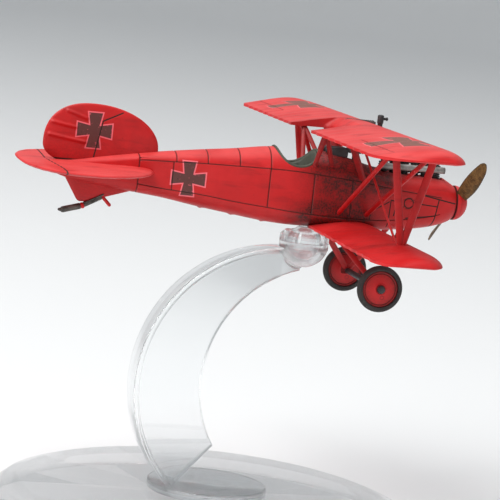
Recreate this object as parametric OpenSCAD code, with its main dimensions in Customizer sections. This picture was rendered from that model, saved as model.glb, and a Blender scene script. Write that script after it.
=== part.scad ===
/* [Display stand] */
// Radius of the round base
base_r = 25; // [18:1:32]
// Thickness of the base
base_t = 3; // [2.6:0.2:5]
// Height of the ball's centre above the table
ball_h = 33; // [31:1:40]
// Distance of the ball's centre ahead of the swivel axis
ball_ahead = 8.5; // [7.5:0.5:11]
// Radius of the ball
ball_r = 2.0; // [1.7:0.1:2.4]
// Wall of the ball's cup and of its collar
cup_wall = 0.85; // [0.7:0.05:1.1]
// Radius of the ball's peg, which goes up into the belly
peg_r = 0.8; // [0.6:0.05:0.95]
// Radius of the arm's outer arc
arm_outer_r = 16.8; // [16:0.2:18]
// Radius of the arm's inner arc
arm_inner_r = 14.2; // [13:0.2:14.6]
// Thickness of the arm's web
web_t = 2.0; // [1.4:0.1:3]
// Width of the arm's outer flange
flange_w = 4.6; // [3.6:0.2:6]
// Radius of the arm's foot peg in the base
foot_peg_r = 2.5; // [1.8:0.1:3.5]

/* [Fuselage] */
// Length of the fuselage from the nose ring to the tail post
fus_len = 47.5; // [40:0.5:57]
// Greatest width of the fuselage
fus_w = 5.9; // [5:0.1:7]
// Greatest depth of the fuselage
fus_depth = 8.9; // [8:0.1:10.7]
// Distance of the cockpit's middle behind the nose
cockpit_at = 19.7; // [18:0.1:21]
// Radius of the cockpit's scooped opening, seen from the side
scoop_r = 2.7; // [2.4:0.05:3]
// Half width of the cockpit well
well_half_w = 1.7; // [1.4:0.05:1.9]

/* [Wings] */
// Half span of the upper wing
upper_half = 31.25; // [26:0.25:37.5]
// Chord of the upper wing
upper_chord = 10.8; // [9.6:0.1:12]
// Distance of the upper wing's leading edge behind the nose
upper_le = 8.6; // [7.6:0.1:9.6]
// Height of the upper wing's flat underside above the thrust line
upper_z = 7.1; // [6.2:0.1:8.4]
// Thickness of the upper wing
upper_t = 1.35; // [1.1:0.05:1.6]
// Half width of the cut-out over the cockpit
cutout_half = 4.4; // [3.6:0.1:5]
// Depth of the cut-out from the trailing edge
cutout_deep = 4.8; // [4.4:0.1:5.4]
// Half span of the lower wing
lower_half = 30.8; // [26:0.2:37]
// Chord of the lower wing
lower_chord = 8.15; // [7.4:0.05:9]
// Distance of the lower wing's leading edge behind the nose
lower_le = 9.6; // [9:0.1:10.4]
// Thickness of the lower wing
lower_t = 1.15; // [0.95:0.05:1.35]
// Distance of the wing struts from the middle
strut_y = 20.4; // [17:0.2:24]

/* [Tail] */
// Half span of the tailplane
tail_half = 11.75; // [9.75:0.05:14.1]
// Thickness of the tailplane
tail_t = 0.7; // [0.55:0.05:0.85]
// Thickness of the fin and rudder
fin_t = 0.6; // [0.5:0.05:0.8]
// Height of the fin's top above the thrust line
fin_top = 7.9; // [6.6:0.1:9.5]

/* [Wheels and propeller] */
// Radius of a wheel over its tyre
wheel_r = 2.7; // [2.3:0.05:3.2]
// Radius of the tyre's round section
tyre_r = 0.42; // [0.34:0.02:0.5]
// Distance of a wheel's middle from the centre line
track_half = 7.2; // [6.4:0.1:8.6]
// Radius of the axle
axle_r = 0.35; // [0.29:0.01:0.42]
// Depth of the axle below the thrust line
axle_drop = 9.8; // [8.6:0.1:11]
// Length of one propeller blade from the shaft's axis
blade_len = 10.2; // [8.5:0.1:12.2]
// Greatest width of a propeller blade
blade_w = 1.9; // [1.4:0.1:2]
// Radius of the spinner
spinner_r = 2.05; // [1.8:0.05:2.2]
// Length of the spinner
spinner_len = 1.8; // [1.5:0.1:2.4]
// Radius of the propeller shaft
shaft_r = 0.4; // [0.33:0.01:0.5]

/* [Fits] */
// Radial clearance of everything that turns
run_gap = 0.05; // [0.02:0.01:0.08]
// Clearance round a piece that is set into another
set_gap = 0.03; // [0.02:0.01:0.06]

/* [Hidden] */
$fn = 48;

// The airframe is drawn in its own frame: x is 0 at the nose ring, z is 0 on the thrust line.
red = [0.78, 0.11, 0.12];
clear = [0.85, 0.9, 0.92, 0.4];
black = [0.09, 0.09, 0.09];
steel = [0.6, 0.6, 0.58];

// Loft table, one row a station: part of the length, part of the half width, then the top,
// the upper seam, the lower seam and the bottom as parts of the depth.
STATIONS = [
    [0.003, 0.68, 0.225, 0.0, 0.0, -0.225],
    [0.014, 0.79, 0.26, 0.03, -0.05, -0.26],
    [0.038, 0.89, 0.325, 0.07, -0.12, -0.31],
    [0.085, 0.95, 0.35, 0.10, -0.19, -0.37],
    [0.17, 0.98, 0.365, 0.145, -0.26, -0.425],
    [0.22, 1.0, 0.395, 0.18, -0.28, -0.445],
    [0.275, 1.0, 0.47, 0.215, -0.285, -0.455],
    [0.337, 0.99, 0.53, 0.24, -0.28, -0.455],
    [0.42, 0.96, 0.545, 0.27, -0.255, -0.455],
    [0.475, 0.91, 0.54, 0.275, -0.23, -0.436],
    [0.57, 0.80, 0.47, 0.27, -0.185, -0.37],
    [0.65, 0.71, 0.42, 0.265, -0.135, -0.31],
    [0.735, 0.61, 0.36, 0.25, -0.105, -0.236],
    [0.80, 0.50, 0.31, 0.235, -0.07, -0.197],
    [0.885, 0.34, 0.235, 0.16, -0.03, -0.15],
    [0.96, 0.20, 0.16, 0.12, 0.0, -0.09],
    [1.0, 0.12, 0.145, 0.11, 0.02, -0.03]
];
function column(k) = [for (r = STATIONS) [r[0] * fus_len, r[k] * fus_depth]];
WIDTHS = [for (r = STATIONS) [r[0] * fus_len, r[1] * fus_w / 2]];
TOPS = column(2);
BOTTOMS = column(5);
// Half width, top and bottom of the fuselage at a distance behind the nose
function half_w(d) = lookup(d, WIDTHS);
function top_z(d) = lookup(d, TOPS);
function bottom_z(d) = lookup(d, BOTTOMS);

QUARTER = 6;
// Right half of one section, from its top to its bottom, two quarter ellipses and a flat side
function half_ring(r) = let (x = -r[0] * fus_len, w = r[1] * fus_w / 2, d = fus_depth) concat(
    [for (i = [0:QUARTER]) [x, w * sin(90 * i / QUARTER), (r[3] + (r[2] - r[3]) * cos(90 * i / QUARTER)) * d]],
    [for (i = [0:QUARTER]) [x, w * cos(90 * i / QUARTER), (r[4] + (r[5] - r[4]) * sin(90 * i / QUARTER)) * d - 0.001]]
);
function other_half(ring) = [for (i = [len(ring) - 2:-1:1]) [ring[i][0], -ring[i][1], ring[i][2]]];
function full_ring(r) = concat(half_ring(r), other_half(half_ring(r)));

belly_z = bottom_z(cockpit_at);
lower_z = belly_z;
peg_at = lower_le + lower_chord - 0.3;
ball_z = belly_z - ball_r;
nose_x = ball_ahead + peg_at;
thrust_z = ball_h - ball_z;
tail_z = 0.107 * fus_depth;
root_y = fus_w / 2 + 0.05;
scoop_z = top_z(cockpit_at) - 1.9 + scoop_r;
well_half_l = 2.3;
well_floor = -1.2;
bay_back = 9.6;
bay_front = 1.6;
bay_half = 1.35;
cyl_r = 0.6;
cyl_pitch = 1.3;
wheel_x = -9.95;

module in_airframe() {
    translate([nose_x, 0, thrust_z]) children();
}

module both_sides() {
    children();
    mirror([0, 1, 0]) children();
}

// A closed solid through a list of like rings
module loft(rings) {
    n = len(rings[0]);
    m = len(rings);
    polyhedron(
        points = [for (r = rings) for (p = r) p],
        faces = concat(
            [[for (j = [0:n - 1]) j]],
            [[for (j = [n - 1:-1:0]) (m - 1) * n + j]],
            [for (i = [0:m - 2]) for (j = [0:n - 1]) [i * n + j, (i + 1) * n + j, (i + 1) * n + (j + 1) % n]],
            [for (i = [0:m - 2]) for (j = [0:n - 1]) [i * n + j, (i + 1) * n + (j + 1) % n, i * n + (j + 1) % n]]
        )
    );
}

// A bar from a to b, its section long along x and thin across
module strut(a, b, long, thin) {
    d = b - a;
    translate(a) rotate([atan2(-d[1], d[2]), 0, 0]) rotate([0, asin(d[0] / norm(d)), 0])
        linear_extrude(norm(d)) {
            square([long - thin, thin], center = true);
            for (s = [-1, 1]) translate([s * (long - thin) / 2, 0]) circle(d = thin, $fn = 24);
        }
}

module rod(a, b, r) {
    d = b - a;
    translate(a) rotate([atan2(-d[1], d[2]), 0, 0]) rotate([0, asin(d[0] / norm(d)), 0])
        cylinder(h = norm(d), r = r, $fn = 24);
}

module across(r, half_len) {
    rotate([90, 0, 0]) cylinder(r = r, h = 2 * half_len, center = true);
}

// ---- display stand -------------------------------------------------------

cup_r = ball_r + run_gap + cup_wall;
collar_low = -0.7;
collar_top = 1.3;
foot_r = 7.0;
foot_t = 1.0;
peg_deep = base_t - 1.2;

module stand_base() color(clear) {
    difference() {
        rotate_extrude($fn = 96) polygon([
            [0, 0], [base_r - 0.4, 0], [base_r, 0.4], [base_r, base_t - 1.6],
            [base_r - 1.2, base_t - 0.6], [base_r - 3, base_t], [0, base_t]
        ]);
        translate([0, 0, base_t - peg_deep]) cylinder(r = foot_peg_r + run_gap, h = peg_deep + 1);
    }
}

// Crescent between two arcs, placed from the ball's centre
outer_c = [-1.9, -17.4];
inner_c = [3.7, -17.0];

module crescent(width, band) {
    rotate([90, 0, 0]) linear_extrude(width, center = true) difference() {
        translate(outer_c) circle(r = arm_outer_r, $fn = 96);
        if (band > 0) translate(outer_c) circle(r = arm_outer_r - band, $fn = 96);
        if (band == 0) translate(inner_c) circle(r = arm_inner_r, $fn = 96);
    }
}

module stand_arm() color(clear) {
    foot_z = base_t + run_gap;
    difference() {
        union() {
            intersection() {
                translate([ball_ahead, 0, ball_h]) {
                    crescent(web_t, 0);
                    crescent(flange_w, 0.6);
                }
                translate([-30, -10, foot_z]) cube([30 + ball_ahead - 0.8, 20, 60]);
                union() {
                    translate([-30, -10, foot_z]) cube([30 + 2.2, 20, 60]);
                    translate([-30, -web_t / 2, foot_z]) cube([60, web_t, 60]);
                }
            }
            translate([ball_ahead, 0, ball_h]) sphere(r = cup_r);
            translate([0, 0, foot_z]) cylinder(r = foot_r, h = foot_t);
            translate([0, 0, base_t - peg_deep + run_gap]) cylinder(r = foot_peg_r, h = peg_deep + foot_t);
        }
        translate([ball_ahead, 0, ball_h]) {
            sphere(r = ball_r + run_gap);
            translate([0, 0, collar_low]) cylinder(r = cup_r + set_gap, h = 20);
        }
    }
}

module socket_collar() color(clear) {
    slot_w = 0.5;
    translate([ball_ahead, 0, ball_h]) difference() {
        rotate_extrude() polygon([
            [0, collar_low], [cup_r, collar_low], [cup_r, collar_top - 0.5],
            [cup_r - 0.5, collar_top], [0, collar_top]
        ]);
        sphere(r = ball_r + run_gap);
        for (a = [0:60:300]) rotate(a) translate([0.5, -slot_w / 2, 0.1]) cube([cup_r, slot_w, 3]);
    }
}

module ball_stud() color(clear) {
    translate([ball_ahead, 0, ball_h]) {
        sphere(r = ball_r);
        cylinder(r = peg_r, h = ball_r + 1.5);
    }
}

// ---- fuselage ------------------------------------------------------------

module blank() {
    loft([for (r = STATIONS) full_ring(r)]);
}

// Where the halves carry the lower wings, a short stub of the wing's own section
module root_stub() {
    loft([for (y = [0, root_y]) wing_ring(y, lower_le, lower_le + lower_chord, lower_z, lower_t)]);
}

module scoop(r) {
    translate([-cockpit_at, 0, scoop_z]) across(r, fus_w);
}

module cockpit_well(gap) {
    translate([-cockpit_at - well_half_l + gap, -well_half_w + gap, well_floor])
        cube([2 * (well_half_l - gap), 2 * (well_half_w - gap), 10]);
}

tail_slot_at = 0.76 * fus_len;

// The left half; the right half is its mirror image
module fuselage_half() {
    difference() {
        union() {
            loft([for (r = STATIONS) half_ring(r)]);
            root_stub();
        }
        scoop(scoop_r);
        cockpit_well(0);
        translate([-bay_back, -1, 0]) cube([bay_back - bay_front, 1 + bay_half, 10]);
        // lightening pockets ahead of and behind the cockpit
        translate([-cockpit_at + 3, -1, belly_z + 1.6]) cube([cockpit_at - 3 - bay_back - 0.6, 3, 3.6]);
        translate([-0.7 * fus_len, -1, -0.4]) cube([0.7 * fus_len - cockpit_at - 3.2, 2.1, 2.2]);
        // slot for the tailplane
        translate([-fus_len - 1, -1, tail_z - tail_t / 2 - set_gap])
            cube([fus_len + 1 - tail_slot_at, 5, tail_t + 2 * set_gap]);
        rotate([0, -90, 0]) cylinder(r = shaft_r + run_gap, h = bay_front + 2);
        translate([-peg_at, 0, belly_z - 1]) cylinder(r = peg_r + run_gap, h = 1 + 1.6);
        translate([-lower_le - 3, root_y + 0.01, lower_z + 0.42]) rotate([90, 0, 0])
            cylinder(r = 0.25 + set_gap, h = 1.4, $fn = 24);
    }
}

module fuselage_left_half() color(red) in_airframe() fuselage_half();
module fuselage_right_half() color(red) in_airframe() mirror([0, 1, 0]) fuselage_half();

module cockpit_tub() color([0.22, 0.24, 0.2]) in_airframe() difference() {
    cockpit_well(set_gap);
    translate([-cockpit_at - well_half_l + 0.3, -well_half_w + 0.3, well_floor + 0.3])
        cube([2 * (well_half_l - 0.3), 2 * (well_half_w - 0.3), 10]);
    scoop(scoop_r);
    translate([-cockpit_at - 5, -5, scoop_z]) cube([10, 10, 10]);
}

module pilot_seat() color([0.3, 0.2, 0.12]) in_airframe() {
    floor_z = well_floor + 0.3;
    translate([-cockpit_at - 1.5, 0, floor_z]) {
        translate([-0.1, -0.9, 0]) cube([1.7, 1.8, 0.8]);
        translate([-0.1, -0.9, 0.8]) cube([0.35, 1.8, 1.2]);
        translate([-0.1, 0, 2.0]) rotate([0, 90, 0]) cylinder(r = 0.9, h = 0.35);
    }
}

module cockpit_coaming() color([0.35, 0.37, 0.3]) in_airframe() difference() {
    intersection() {
        blank();
        difference() {
            scoop(scoop_r - 0.02);
            scoop(scoop_r - 0.27);
        }
    }
    cockpit_well(-0.01);
}

// ---- engine and guns -----------------------------------------------------

pipe_r = 0.48;
pipe_stub_r = 0.24;
pipe_y = -1.8;
pipe_front = -1.5;
// The pipe lies just over the deck, and the cylinders stand up past it
pipe_z = top_z(bay_back) + 0.33;
cyl_z = 2.5;
cyl_top = pipe_z + 0.85;
first_cyl = -bay_front - 0.85;

module engine_block() color(black) in_airframe() {
    translate([-bay_back + set_gap, -1.0, 0]) cube([bay_back - bay_front - 2 * set_gap, 2.0, cyl_z]);
    for (i = [0:5]) translate([first_cyl - i * cyl_pitch, 0, cyl_z - 0.01]) {
        cylinder(r = cyl_r, h = cyl_top - cyl_z, $fn = 32);
        translate([0, 0.45, cyl_top - cyl_z - 0.2]) cylinder(r = 0.16, h = 0.75, $fn = 24);
    }
    translate([first_cyl - 5 * cyl_pitch - 0.4, -0.3, cyl_top - 0.05]) cube([5 * cyl_pitch + 0.8, 0.6, 0.35]);
}

module exhaust_manifold() color(steel) in_airframe() {
    back = first_cyl - 5 * cyl_pitch - 0.6;
    translate([back, pipe_y, pipe_z]) rotate([0, 90, 0]) cylinder(r = pipe_r, h = pipe_front - back, $fn = 32);
    translate([back, pipe_y, pipe_z]) sphere(r = pipe_r, $fn = 32);
    for (i = [0:5]) translate([first_cyl - i * cyl_pitch, -cyl_r - 0.02, pipe_z]) rotate([90, 0, 0])
        cylinder(r = pipe_stub_r, h = -pipe_y - cyl_r, $fn = 24);
}

module machine_guns() color(black) in_airframe() {
    for (s = [-1, 1]) difference() {
        translate([0, s * 0.75, 0]) {
            translate([-16.0, -0.25, 4.3]) cube([2.4, 0.5, 1.1]);
            translate([-13.7, 0, 5.1]) rotate([0, 90, 0]) cylinder(r = 0.26, h = 3.3, $fn = 24);
            translate([-10.4, 0, 5.1]) rotate([0, 90, 0]) cylinder(r = 0.14, h = 0.6, $fn = 24);
            translate([-12.5, -0.1, 3.0]) cube([0.4, 0.2, 2.0]);
        }
        blank();
    }
}

// ---- wings ---------------------------------------------------------------

SHARE = [1, 0.8, 0.6, 0.4, 0.22, 0.1, 0.03];
UNDER = [0.03, 0.12, 1];
edge_t = 0.3;
// Height of the upper face at a part u of the chord, and of the lower face near the leading edge
function crown(u, t) = (t - 0.1) * sin(180 * pow(u, 0.62)) + edge_t * u + 0.16 * (1 - u);
function keel(u, t) = u >= 0.12 ? 0 : 0.2 * t * pow(1 - u / 0.12, 2);
function wing_ring(y, front, back, z, t) = concat(
    [for (u = SHARE) [-front - u * (back - front), y, z + crown(u, t)]],
    [[-front, y, z + 0.16]],
    [for (u = UNDER) [-front - u * (back - front), y, z + keel(u, t)]]
);
// A tip with a long round in front and a short one behind
function bow(s, half, span, deep) = s <= half - span ? 0 : deep * (1 - sqrt(1 - pow((s - half + span) / span, 2)));
function tip_front(s, half) = bow(s, half, 6, 2.8);
function tip_back(s, half, chord) = bow(s, half, 4, chord - 5.2);
TIP = [0.0, 0.3, 0.55, 0.75, 0.9, 0.97, 0.995];
function tip_places(half) = concat([for (k = TIP) half - 6 + 3.6 * k], [for (k = TIP) half - 2.4 + 2.4 * k]);
function panel(places, half, le, chord, z, t) = [
    for (y = places) let (s = abs(y))
        wing_ring(y, le + tip_front(s, half), le + chord - tip_back(s, half, chord), z, t)
];
function turned(v) = [for (i = [len(v) - 1:-1:0]) -v[i]];

rad_x = -13.2;
rad_l = 3.6;
rad_y = 2.5;
rad_w = 0.9;
rad_deep = 0.7;
header_x = -upper_le - 0.9;
header_y = 1.2;

module upper_wing() color(red) in_airframe() difference() {
    places = tip_places(upper_half);
    loft(panel(concat(turned(places), [0], places), upper_half, upper_le, upper_chord, upper_z, upper_t));
    back_x = -upper_le - upper_chord;
    translate([back_x - 1, -cutout_half, upper_z - 1]) cube([cutout_deep, 2 * cutout_half, 4]);
    translate([back_x - 1, 1 - cutout_half, upper_z - 1]) cube([cutout_deep + 1, 2 * cutout_half - 2, 4]);
    for (s = [-1, 1]) translate([back_x + cutout_deep - 1, s * (cutout_half - 1), upper_z - 1])
        cylinder(r = 1, h = 4);
    translate([rad_x - set_gap, rad_y - set_gap, upper_z + rad_deep])
        cube([rad_l + 2 * set_gap, rad_w + 2 * set_gap, 3]);
    translate([header_x, header_y, upper_z + 0.4]) cylinder(r = 0.3 + set_gap, h = 3, $fn = 24);
}

module wing_radiator() color([0.2, 0.16, 0.15]) in_airframe() {
    translate([rad_x, rad_y, upper_z + rad_deep]) cube([rad_l, rad_w, upper_t - rad_deep + 0.12]);
}

module radiator_header() color(black) in_airframe() {
    translate([header_x, header_y, upper_z]) {
        translate([0, 0, 0.4]) cylinder(r = 0.3, h = 1.1, $fn = 24);
        translate([0, 0, 1.4]) cylinder(r = 0.38, h = 0.95, $fn = 24);
        translate([0, 0, 1.9]) rotate([0, 90, 0]) cylinder(r = 0.17, h = 0.95, $fn = 24);
    }
}

module lower_panel() {
    loft(panel(concat([root_y], tip_places(lower_half)), lower_half, lower_le, lower_chord, lower_z, lower_t));
    translate([-lower_le - 3, root_y + 0.2, lower_z + 0.42]) rotate([90, 0, 0])
        cylinder(r = 0.25, h = 1.4, $fn = 24);
}

module lower_wing_left() color(red) in_airframe() lower_panel();
module lower_wing_right() color(red) in_airframe() mirror([0, 1, 0]) lower_panel();

// ---- struts --------------------------------------------------------------

foot_at = -12.4;
vee_front = -upper_le - 1.0;
vee_rear = -upper_le - 5.6;

module vee_strut() {
    foot = [foot_at, strut_y, lower_z + 0.6];
    difference() {
        union() {
            strut(foot, [vee_front, strut_y, upper_z + 1], 0.9, 0.55);
            strut(foot, [vee_rear, strut_y, upper_z + 1], 0.9, 0.55);
            translate([foot_at, strut_y, lower_z + 0.5]) across(0.75, 0.28);
        }
        translate([-40, 0, upper_z]) cube([60, 60, 10]);
        loft(panel([strut_y - 2, strut_y + 2], lower_half, lower_le, lower_chord, lower_z, lower_t));
        translate([-40, 0, lower_z - 5]) cube([60, 60, 5.3]);
    }
}

module vee_strut_left() color(red) in_airframe() vee_strut();
module vee_strut_right() color(red) in_airframe() mirror([0, 1, 0]) vee_strut();

cab_y = 5.0;

module cabane_struts() {
    difference() {
        union() {
            strut([-11.6, half_w(11.6) - 0.6, 1.2], [-14.9, cab_y, upper_z + 0.5], 0.8, 0.5);
            strut([-15.6, half_w(15.6) - 0.9, 2.8], [-17.6, cab_y, upper_z + 0.5], 0.55, 0.45);
            strut([-18.0, half_w(18.0) - 0.8, 2.6], [-17.6, cab_y, upper_z + 0.5], 0.55, 0.45);
        }
        blank();
        translate([-40, 0, upper_z]) cube([60, 60, 10]);
    }
}

module cabane_struts_left() color(red) in_airframe() cabane_struts();
module cabane_struts_right() color(red) in_airframe() mirror([0, 1, 0]) cabane_struts();

module bracing_rods() {
    outer = strut_y - 0.7;
    difference() {
        union() {
            rod([-14.5, half_w(14.5) - 0.5, -2.1], [vee_rear, outer, upper_z + 0.5], 0.28);
            rod([-11.2, half_w(11.2) - 0.5, -2.1], [vee_front, outer, upper_z + 0.5], 0.28);
            rod([foot_at, outer, lower_z + 0.3], [-13.4, cab_y - 1, upper_z + 0.5], 0.14);
        }
        blank();
        translate([-40, 0, upper_z]) cube([60, 60, 10]);
        loft(panel([root_y, strut_y + 2], lower_half, lower_le, lower_chord, lower_z, lower_t));
    }
}

module bracing_rods_left() color(red) in_airframe() bracing_rods();
module bracing_rods_right() color(red) in_airframe() mirror([0, 1, 0]) bracing_rods();

// ---- tail ----------------------------------------------------------------

tail_mid = 0.95 * fus_len;
tail_front = 8.7;
tail_back = 6.5;
// Half ellipse in front, rounder behind
function tail_point(a) = let (c = cos(a), s = sin(a), p = c > 0 ? 1 : 0.8)
    [-tail_mid + (c > 0 ? tail_front * c : -tail_back * pow(-c, p)), tail_half * sign(s) * pow(abs(s), p)];

module tailplane() color(red) in_airframe() {
    translate([0, 0, tail_z - tail_t / 2]) linear_extrude(tail_t)
        polygon([for (i = [0:63]) tail_point(360 * (i + 0.5) / 64)]);
}

fin_mid = 0.918 * fus_len;
fin_low = 3.2;
// Front and rear quarters of the fin's rim, then the rudder's heel
function fin_point(a) = let (c = cos(a), s = sin(a), rise = fin_top - fin_low)
    c >= 0 ? [-fin_mid + 7.8 * c, fin_low + rise * s]
        : s >= 0 ? [-fin_mid - 5.5 * pow(-c, 0.85), fin_low + rise * pow(s, 0.85)]
            : [-fin_mid - 5.5 * pow(-c, 0.8), fin_low - 2.4 * pow(-s, 0.9)];

module fin_and_rudder() color(red) in_airframe() difference() {
    rotate([90, 0, 0]) linear_extrude(fin_t, center = true) polygon(concat(
        [for (i = [0:44]) fin_point(6 * i)],
        [[-fin_mid + 7.8, 0]]
    ));
    blank();
    translate([-80, -5, -10]) cube([80, 10, 10 + tail_z + tail_t / 2]);
}

module under_fin() color(red) in_airframe() difference() {
    fin_plate_under();
    blank();
    translate([-80, -5, tail_z - tail_t / 2]) cube([80, 10, 10]);
}

module fin_plate_under() {
    rotate([90, 0, 0]) linear_extrude(fin_t, center = true) polygon([
        [-0.79 * fus_len, 0], [-0.985 * fus_len, 0], [-0.94 * fus_len, -3.1],
        [-0.935 * fus_len, -3.3], [-0.915 * fus_len, -3.25], [-0.8 * fus_len, -1.5]
    ]);
}

module tail_skid() color([0.25, 0.22, 0.2]) in_airframe() difference() {
    toe = [-0.977 * fus_len, 0, -4.45];
    knee = [-0.925 * fus_len, 0, -3.75];
    root = [-0.878 * fus_len, 0, -2.55];
    prop = [-0.856 * fus_len, 0, -3.6];
    union() {
        rod(toe, knee, 0.3);
        rod(knee, root, 0.3);
        rod(prop, root, 0.2);
        rod(knee + [-0.35, 0, -0.1], knee + [0.3, 0, 0.16], 0.4);
        for (p = [knee, root]) translate(p) sphere(r = 0.3, $fn = 32);
    }
    fin_plate_under();
}

// ---- undercarriage -------------------------------------------------------

module undercarriage_strut() {
    eye = [wheel_x, track_half - 1.05, -axle_drop];
    difference() {
        union() {
            strut(eye, [-15.0, 2.0, lower_z + 0.5], 0.75, 0.5);
            strut(eye, [-6.6, 1.9, lower_z + 1.2], 0.75, 0.5);
            translate(eye) across(0.7, 0.28);
        }
        translate(eye) across(axle_r + set_gap, 2);
        blank();
        translate([-40, 0, lower_z]) cube([40, 20, 10]);
    }
}

module undercarriage_strut_left() color(red) in_airframe() undercarriage_strut();
module undercarriage_strut_right() color(red) in_airframe() mirror([0, 1, 0]) undercarriage_strut();

hub_half = 0.45;
cap_from = track_half + hub_half + 0.1;

module axle() color(black) in_airframe() {
    translate([wheel_x, 0, -axle_drop]) across(axle_r, cap_from + 0.25);
}

module axle_caps() color(black) in_airframe() both_sides()
    translate([wheel_x, cap_from, -axle_drop]) rotate([-90, 0, 0]) difference() {
        cylinder(r = axle_r + 0.25, h = 0.35);
        translate([0, 0, -1]) cylinder(r = axle_r + 0.005, h = 1.25);
    }

rim_r = wheel_r - 1.3 * tyre_r;

// Dished cover disc with a hub, turned about the axle
module wheel_disc() {
    translate([wheel_x, track_half, -axle_drop]) rotate([90, 0, 0]) rotate_extrude() polygon([
        [axle_r + run_gap, -hub_half], [axle_r + 0.35, -hub_half], [rim_r - 0.3, -0.22], [rim_r, -0.22],
        [rim_r, 0.22], [rim_r - 0.3, 0.22], [axle_r + 0.35, hub_half], [axle_r + run_gap, hub_half]
    ]);
}

module wheel_disc_left() color(red) in_airframe() wheel_disc();
module wheel_disc_right() color(red) in_airframe() mirror([0, 1, 0]) wheel_disc();

module tyre() {
    translate([wheel_x, track_half, -axle_drop]) rotate([90, 0, 0]) rotate_extrude() difference() {
        translate([wheel_r - tyre_r, 0]) circle(r = tyre_r);
        translate([0, -2]) square([rim_r + 0.005, 4]);
    }
}

module tyre_left() color(black) in_airframe() tyre();
module tyre_right() color(black) in_airframe() mirror([0, 1, 0]) tyre();

// ---- propeller -----------------------------------------------------------

prop_turn = 57;
disc_x = 0.6;
hub_r = 0.95;
back_gap = 0.12;

// Lens section of a blade at a part k of its length
function blade_ring(k) = let (
    w = blade_w * (0.6 + 0.4 * sin(180 * k)) * (k > 0.86 ? sqrt(1 - pow((k - 0.86) / 0.144, 2)) : 1) / 2,
    t = (0.42 - 0.28 * k) / 2,
    pitch = 44 * k - 62
) [for (i = [0:9]) let (u = w * cos(36 * i), v = t * sin(36 * i))
    [u * sin(pitch) - v * cos(pitch), u * cos(pitch) + v * sin(pitch), 0.5 + (blade_len - 0.5) * k]];

module propeller() color([0.42, 0.27, 0.15]) in_airframe() translate([disc_x, 0, 0]) rotate([prop_turn, 0, 0])
    difference() {
        union() {
            for (s = [0, 180]) rotate([s, 0, 0])
                loft([for (k = [0, 0.12, 0.25, 0.4, 0.55, 0.7, 0.82, 0.9, 0.95, 0.98, 1]) blade_ring(k)]);
            translate([-0.4, 0, 0]) rotate([0, 90, 0]) cylinder(r = hub_r, h = 0.8);
        }
        translate([-2, 0, 0]) rotate([0, 90, 0]) cylinder(r = shaft_r + 0.01, h = 4);
    }

module spinner() color(red) in_airframe() difference() {
    rotate([0, 90, 0]) rotate_extrude() polygon(concat(
        [[0, back_gap]],
        [for (i = [0:12]) [spinner_r * pow(cos(7.5 * i), 0.8), back_gap + (spinner_len - back_gap) * sin(7.5 * i)]]
    ));
    translate([-1, 0, 0]) rotate([0, 90, 0]) cylinder(r = hub_r + set_gap, h = 1 + disc_x + 0.42);
    rotate([prop_turn, 0, 0]) translate([-1, -0.62, -5]) cube([1 + disc_x + 0.66, 1.24, 10]);
}

module propeller_shaft() color(steel) in_airframe() {
    translate([-bay_front, 0, 0]) rotate([0, 90, 0]) cylinder(r = shaft_r, h = bay_front + disc_x + 0.38);
}

stand_base();
stand_arm();
socket_collar();
ball_stud();
fuselage_left_half();
fuselage_right_half();
cockpit_tub();
pilot_seat();
cockpit_coaming();
engine_block();
exhaust_manifold();
machine_guns();
upper_wing();
wing_radiator();
radiator_header();
lower_wing_left();
lower_wing_right();
vee_strut_left();
vee_strut_right();
cabane_struts_left();
cabane_struts_right();
bracing_rods_left();
bracing_rods_right();
tailplane();
fin_and_rudder();
under_fin();
tail_skid();
undercarriage_strut_left();
undercarriage_strut_right();
axle();
axle_caps();
wheel_disc_left();
wheel_disc_right();
tyre_left();
tyre_right();
propeller();
spinner();
propeller_shaft();
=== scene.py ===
"""Finished surfaces of a red biplane scale model on its clear stand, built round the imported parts."""

import math

import bmesh
import bpy
import numpy as np
from mathutils import Matrix, Vector


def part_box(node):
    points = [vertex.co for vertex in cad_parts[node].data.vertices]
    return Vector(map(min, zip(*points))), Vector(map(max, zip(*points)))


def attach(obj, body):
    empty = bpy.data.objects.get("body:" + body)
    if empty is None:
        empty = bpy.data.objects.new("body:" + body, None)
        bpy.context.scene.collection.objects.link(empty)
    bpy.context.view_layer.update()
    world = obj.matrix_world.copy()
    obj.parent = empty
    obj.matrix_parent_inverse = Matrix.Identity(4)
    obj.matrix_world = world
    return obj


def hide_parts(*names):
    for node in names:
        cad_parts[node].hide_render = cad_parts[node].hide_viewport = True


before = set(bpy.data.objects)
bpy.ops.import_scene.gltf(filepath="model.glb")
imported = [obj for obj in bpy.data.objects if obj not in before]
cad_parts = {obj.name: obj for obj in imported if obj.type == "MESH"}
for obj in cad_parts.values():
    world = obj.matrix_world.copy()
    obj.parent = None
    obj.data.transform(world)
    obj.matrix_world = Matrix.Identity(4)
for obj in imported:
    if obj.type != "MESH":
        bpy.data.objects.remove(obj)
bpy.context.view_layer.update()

bl_info = {
    "name": "Biplane scale model",
    "version": (1, 0, 0),
    "blender": (4, 5, 0),
    "location": "View3D > Sidebar > Biplane",
    "description": "Builds the finished surfaces of a biplane scale model and its clear stand",
    "category": "Object",
}

# ---- places and sizes that come from the frame, in millimetres ------------

MM = 0.001
SPINNER_GAP = 0.12
TAU = 2 * math.pi
SIDES = ((1, "left"), (-1, "right"))


def corners(node):
    """Lowest and highest corner of a frame node, in millimetres in the row frame."""
    return tuple(np.array(corner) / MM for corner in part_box(node))


_shaft = corners("propeller_shaft")
# The airframe's own origin: the nose ring's centre, on the thrust line
NOSE = np.array([corners("spinner")[0][0] - SPINNER_GAP, 0.0, (_shaft[0][2] + _shaft[1][2]) / 2])
ROW = np.zeros(3)


def local(node):
    """Lowest and highest corner of a frame node, from the airframe's origin."""
    return tuple(corner - NOSE for corner in corners(node))


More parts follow.
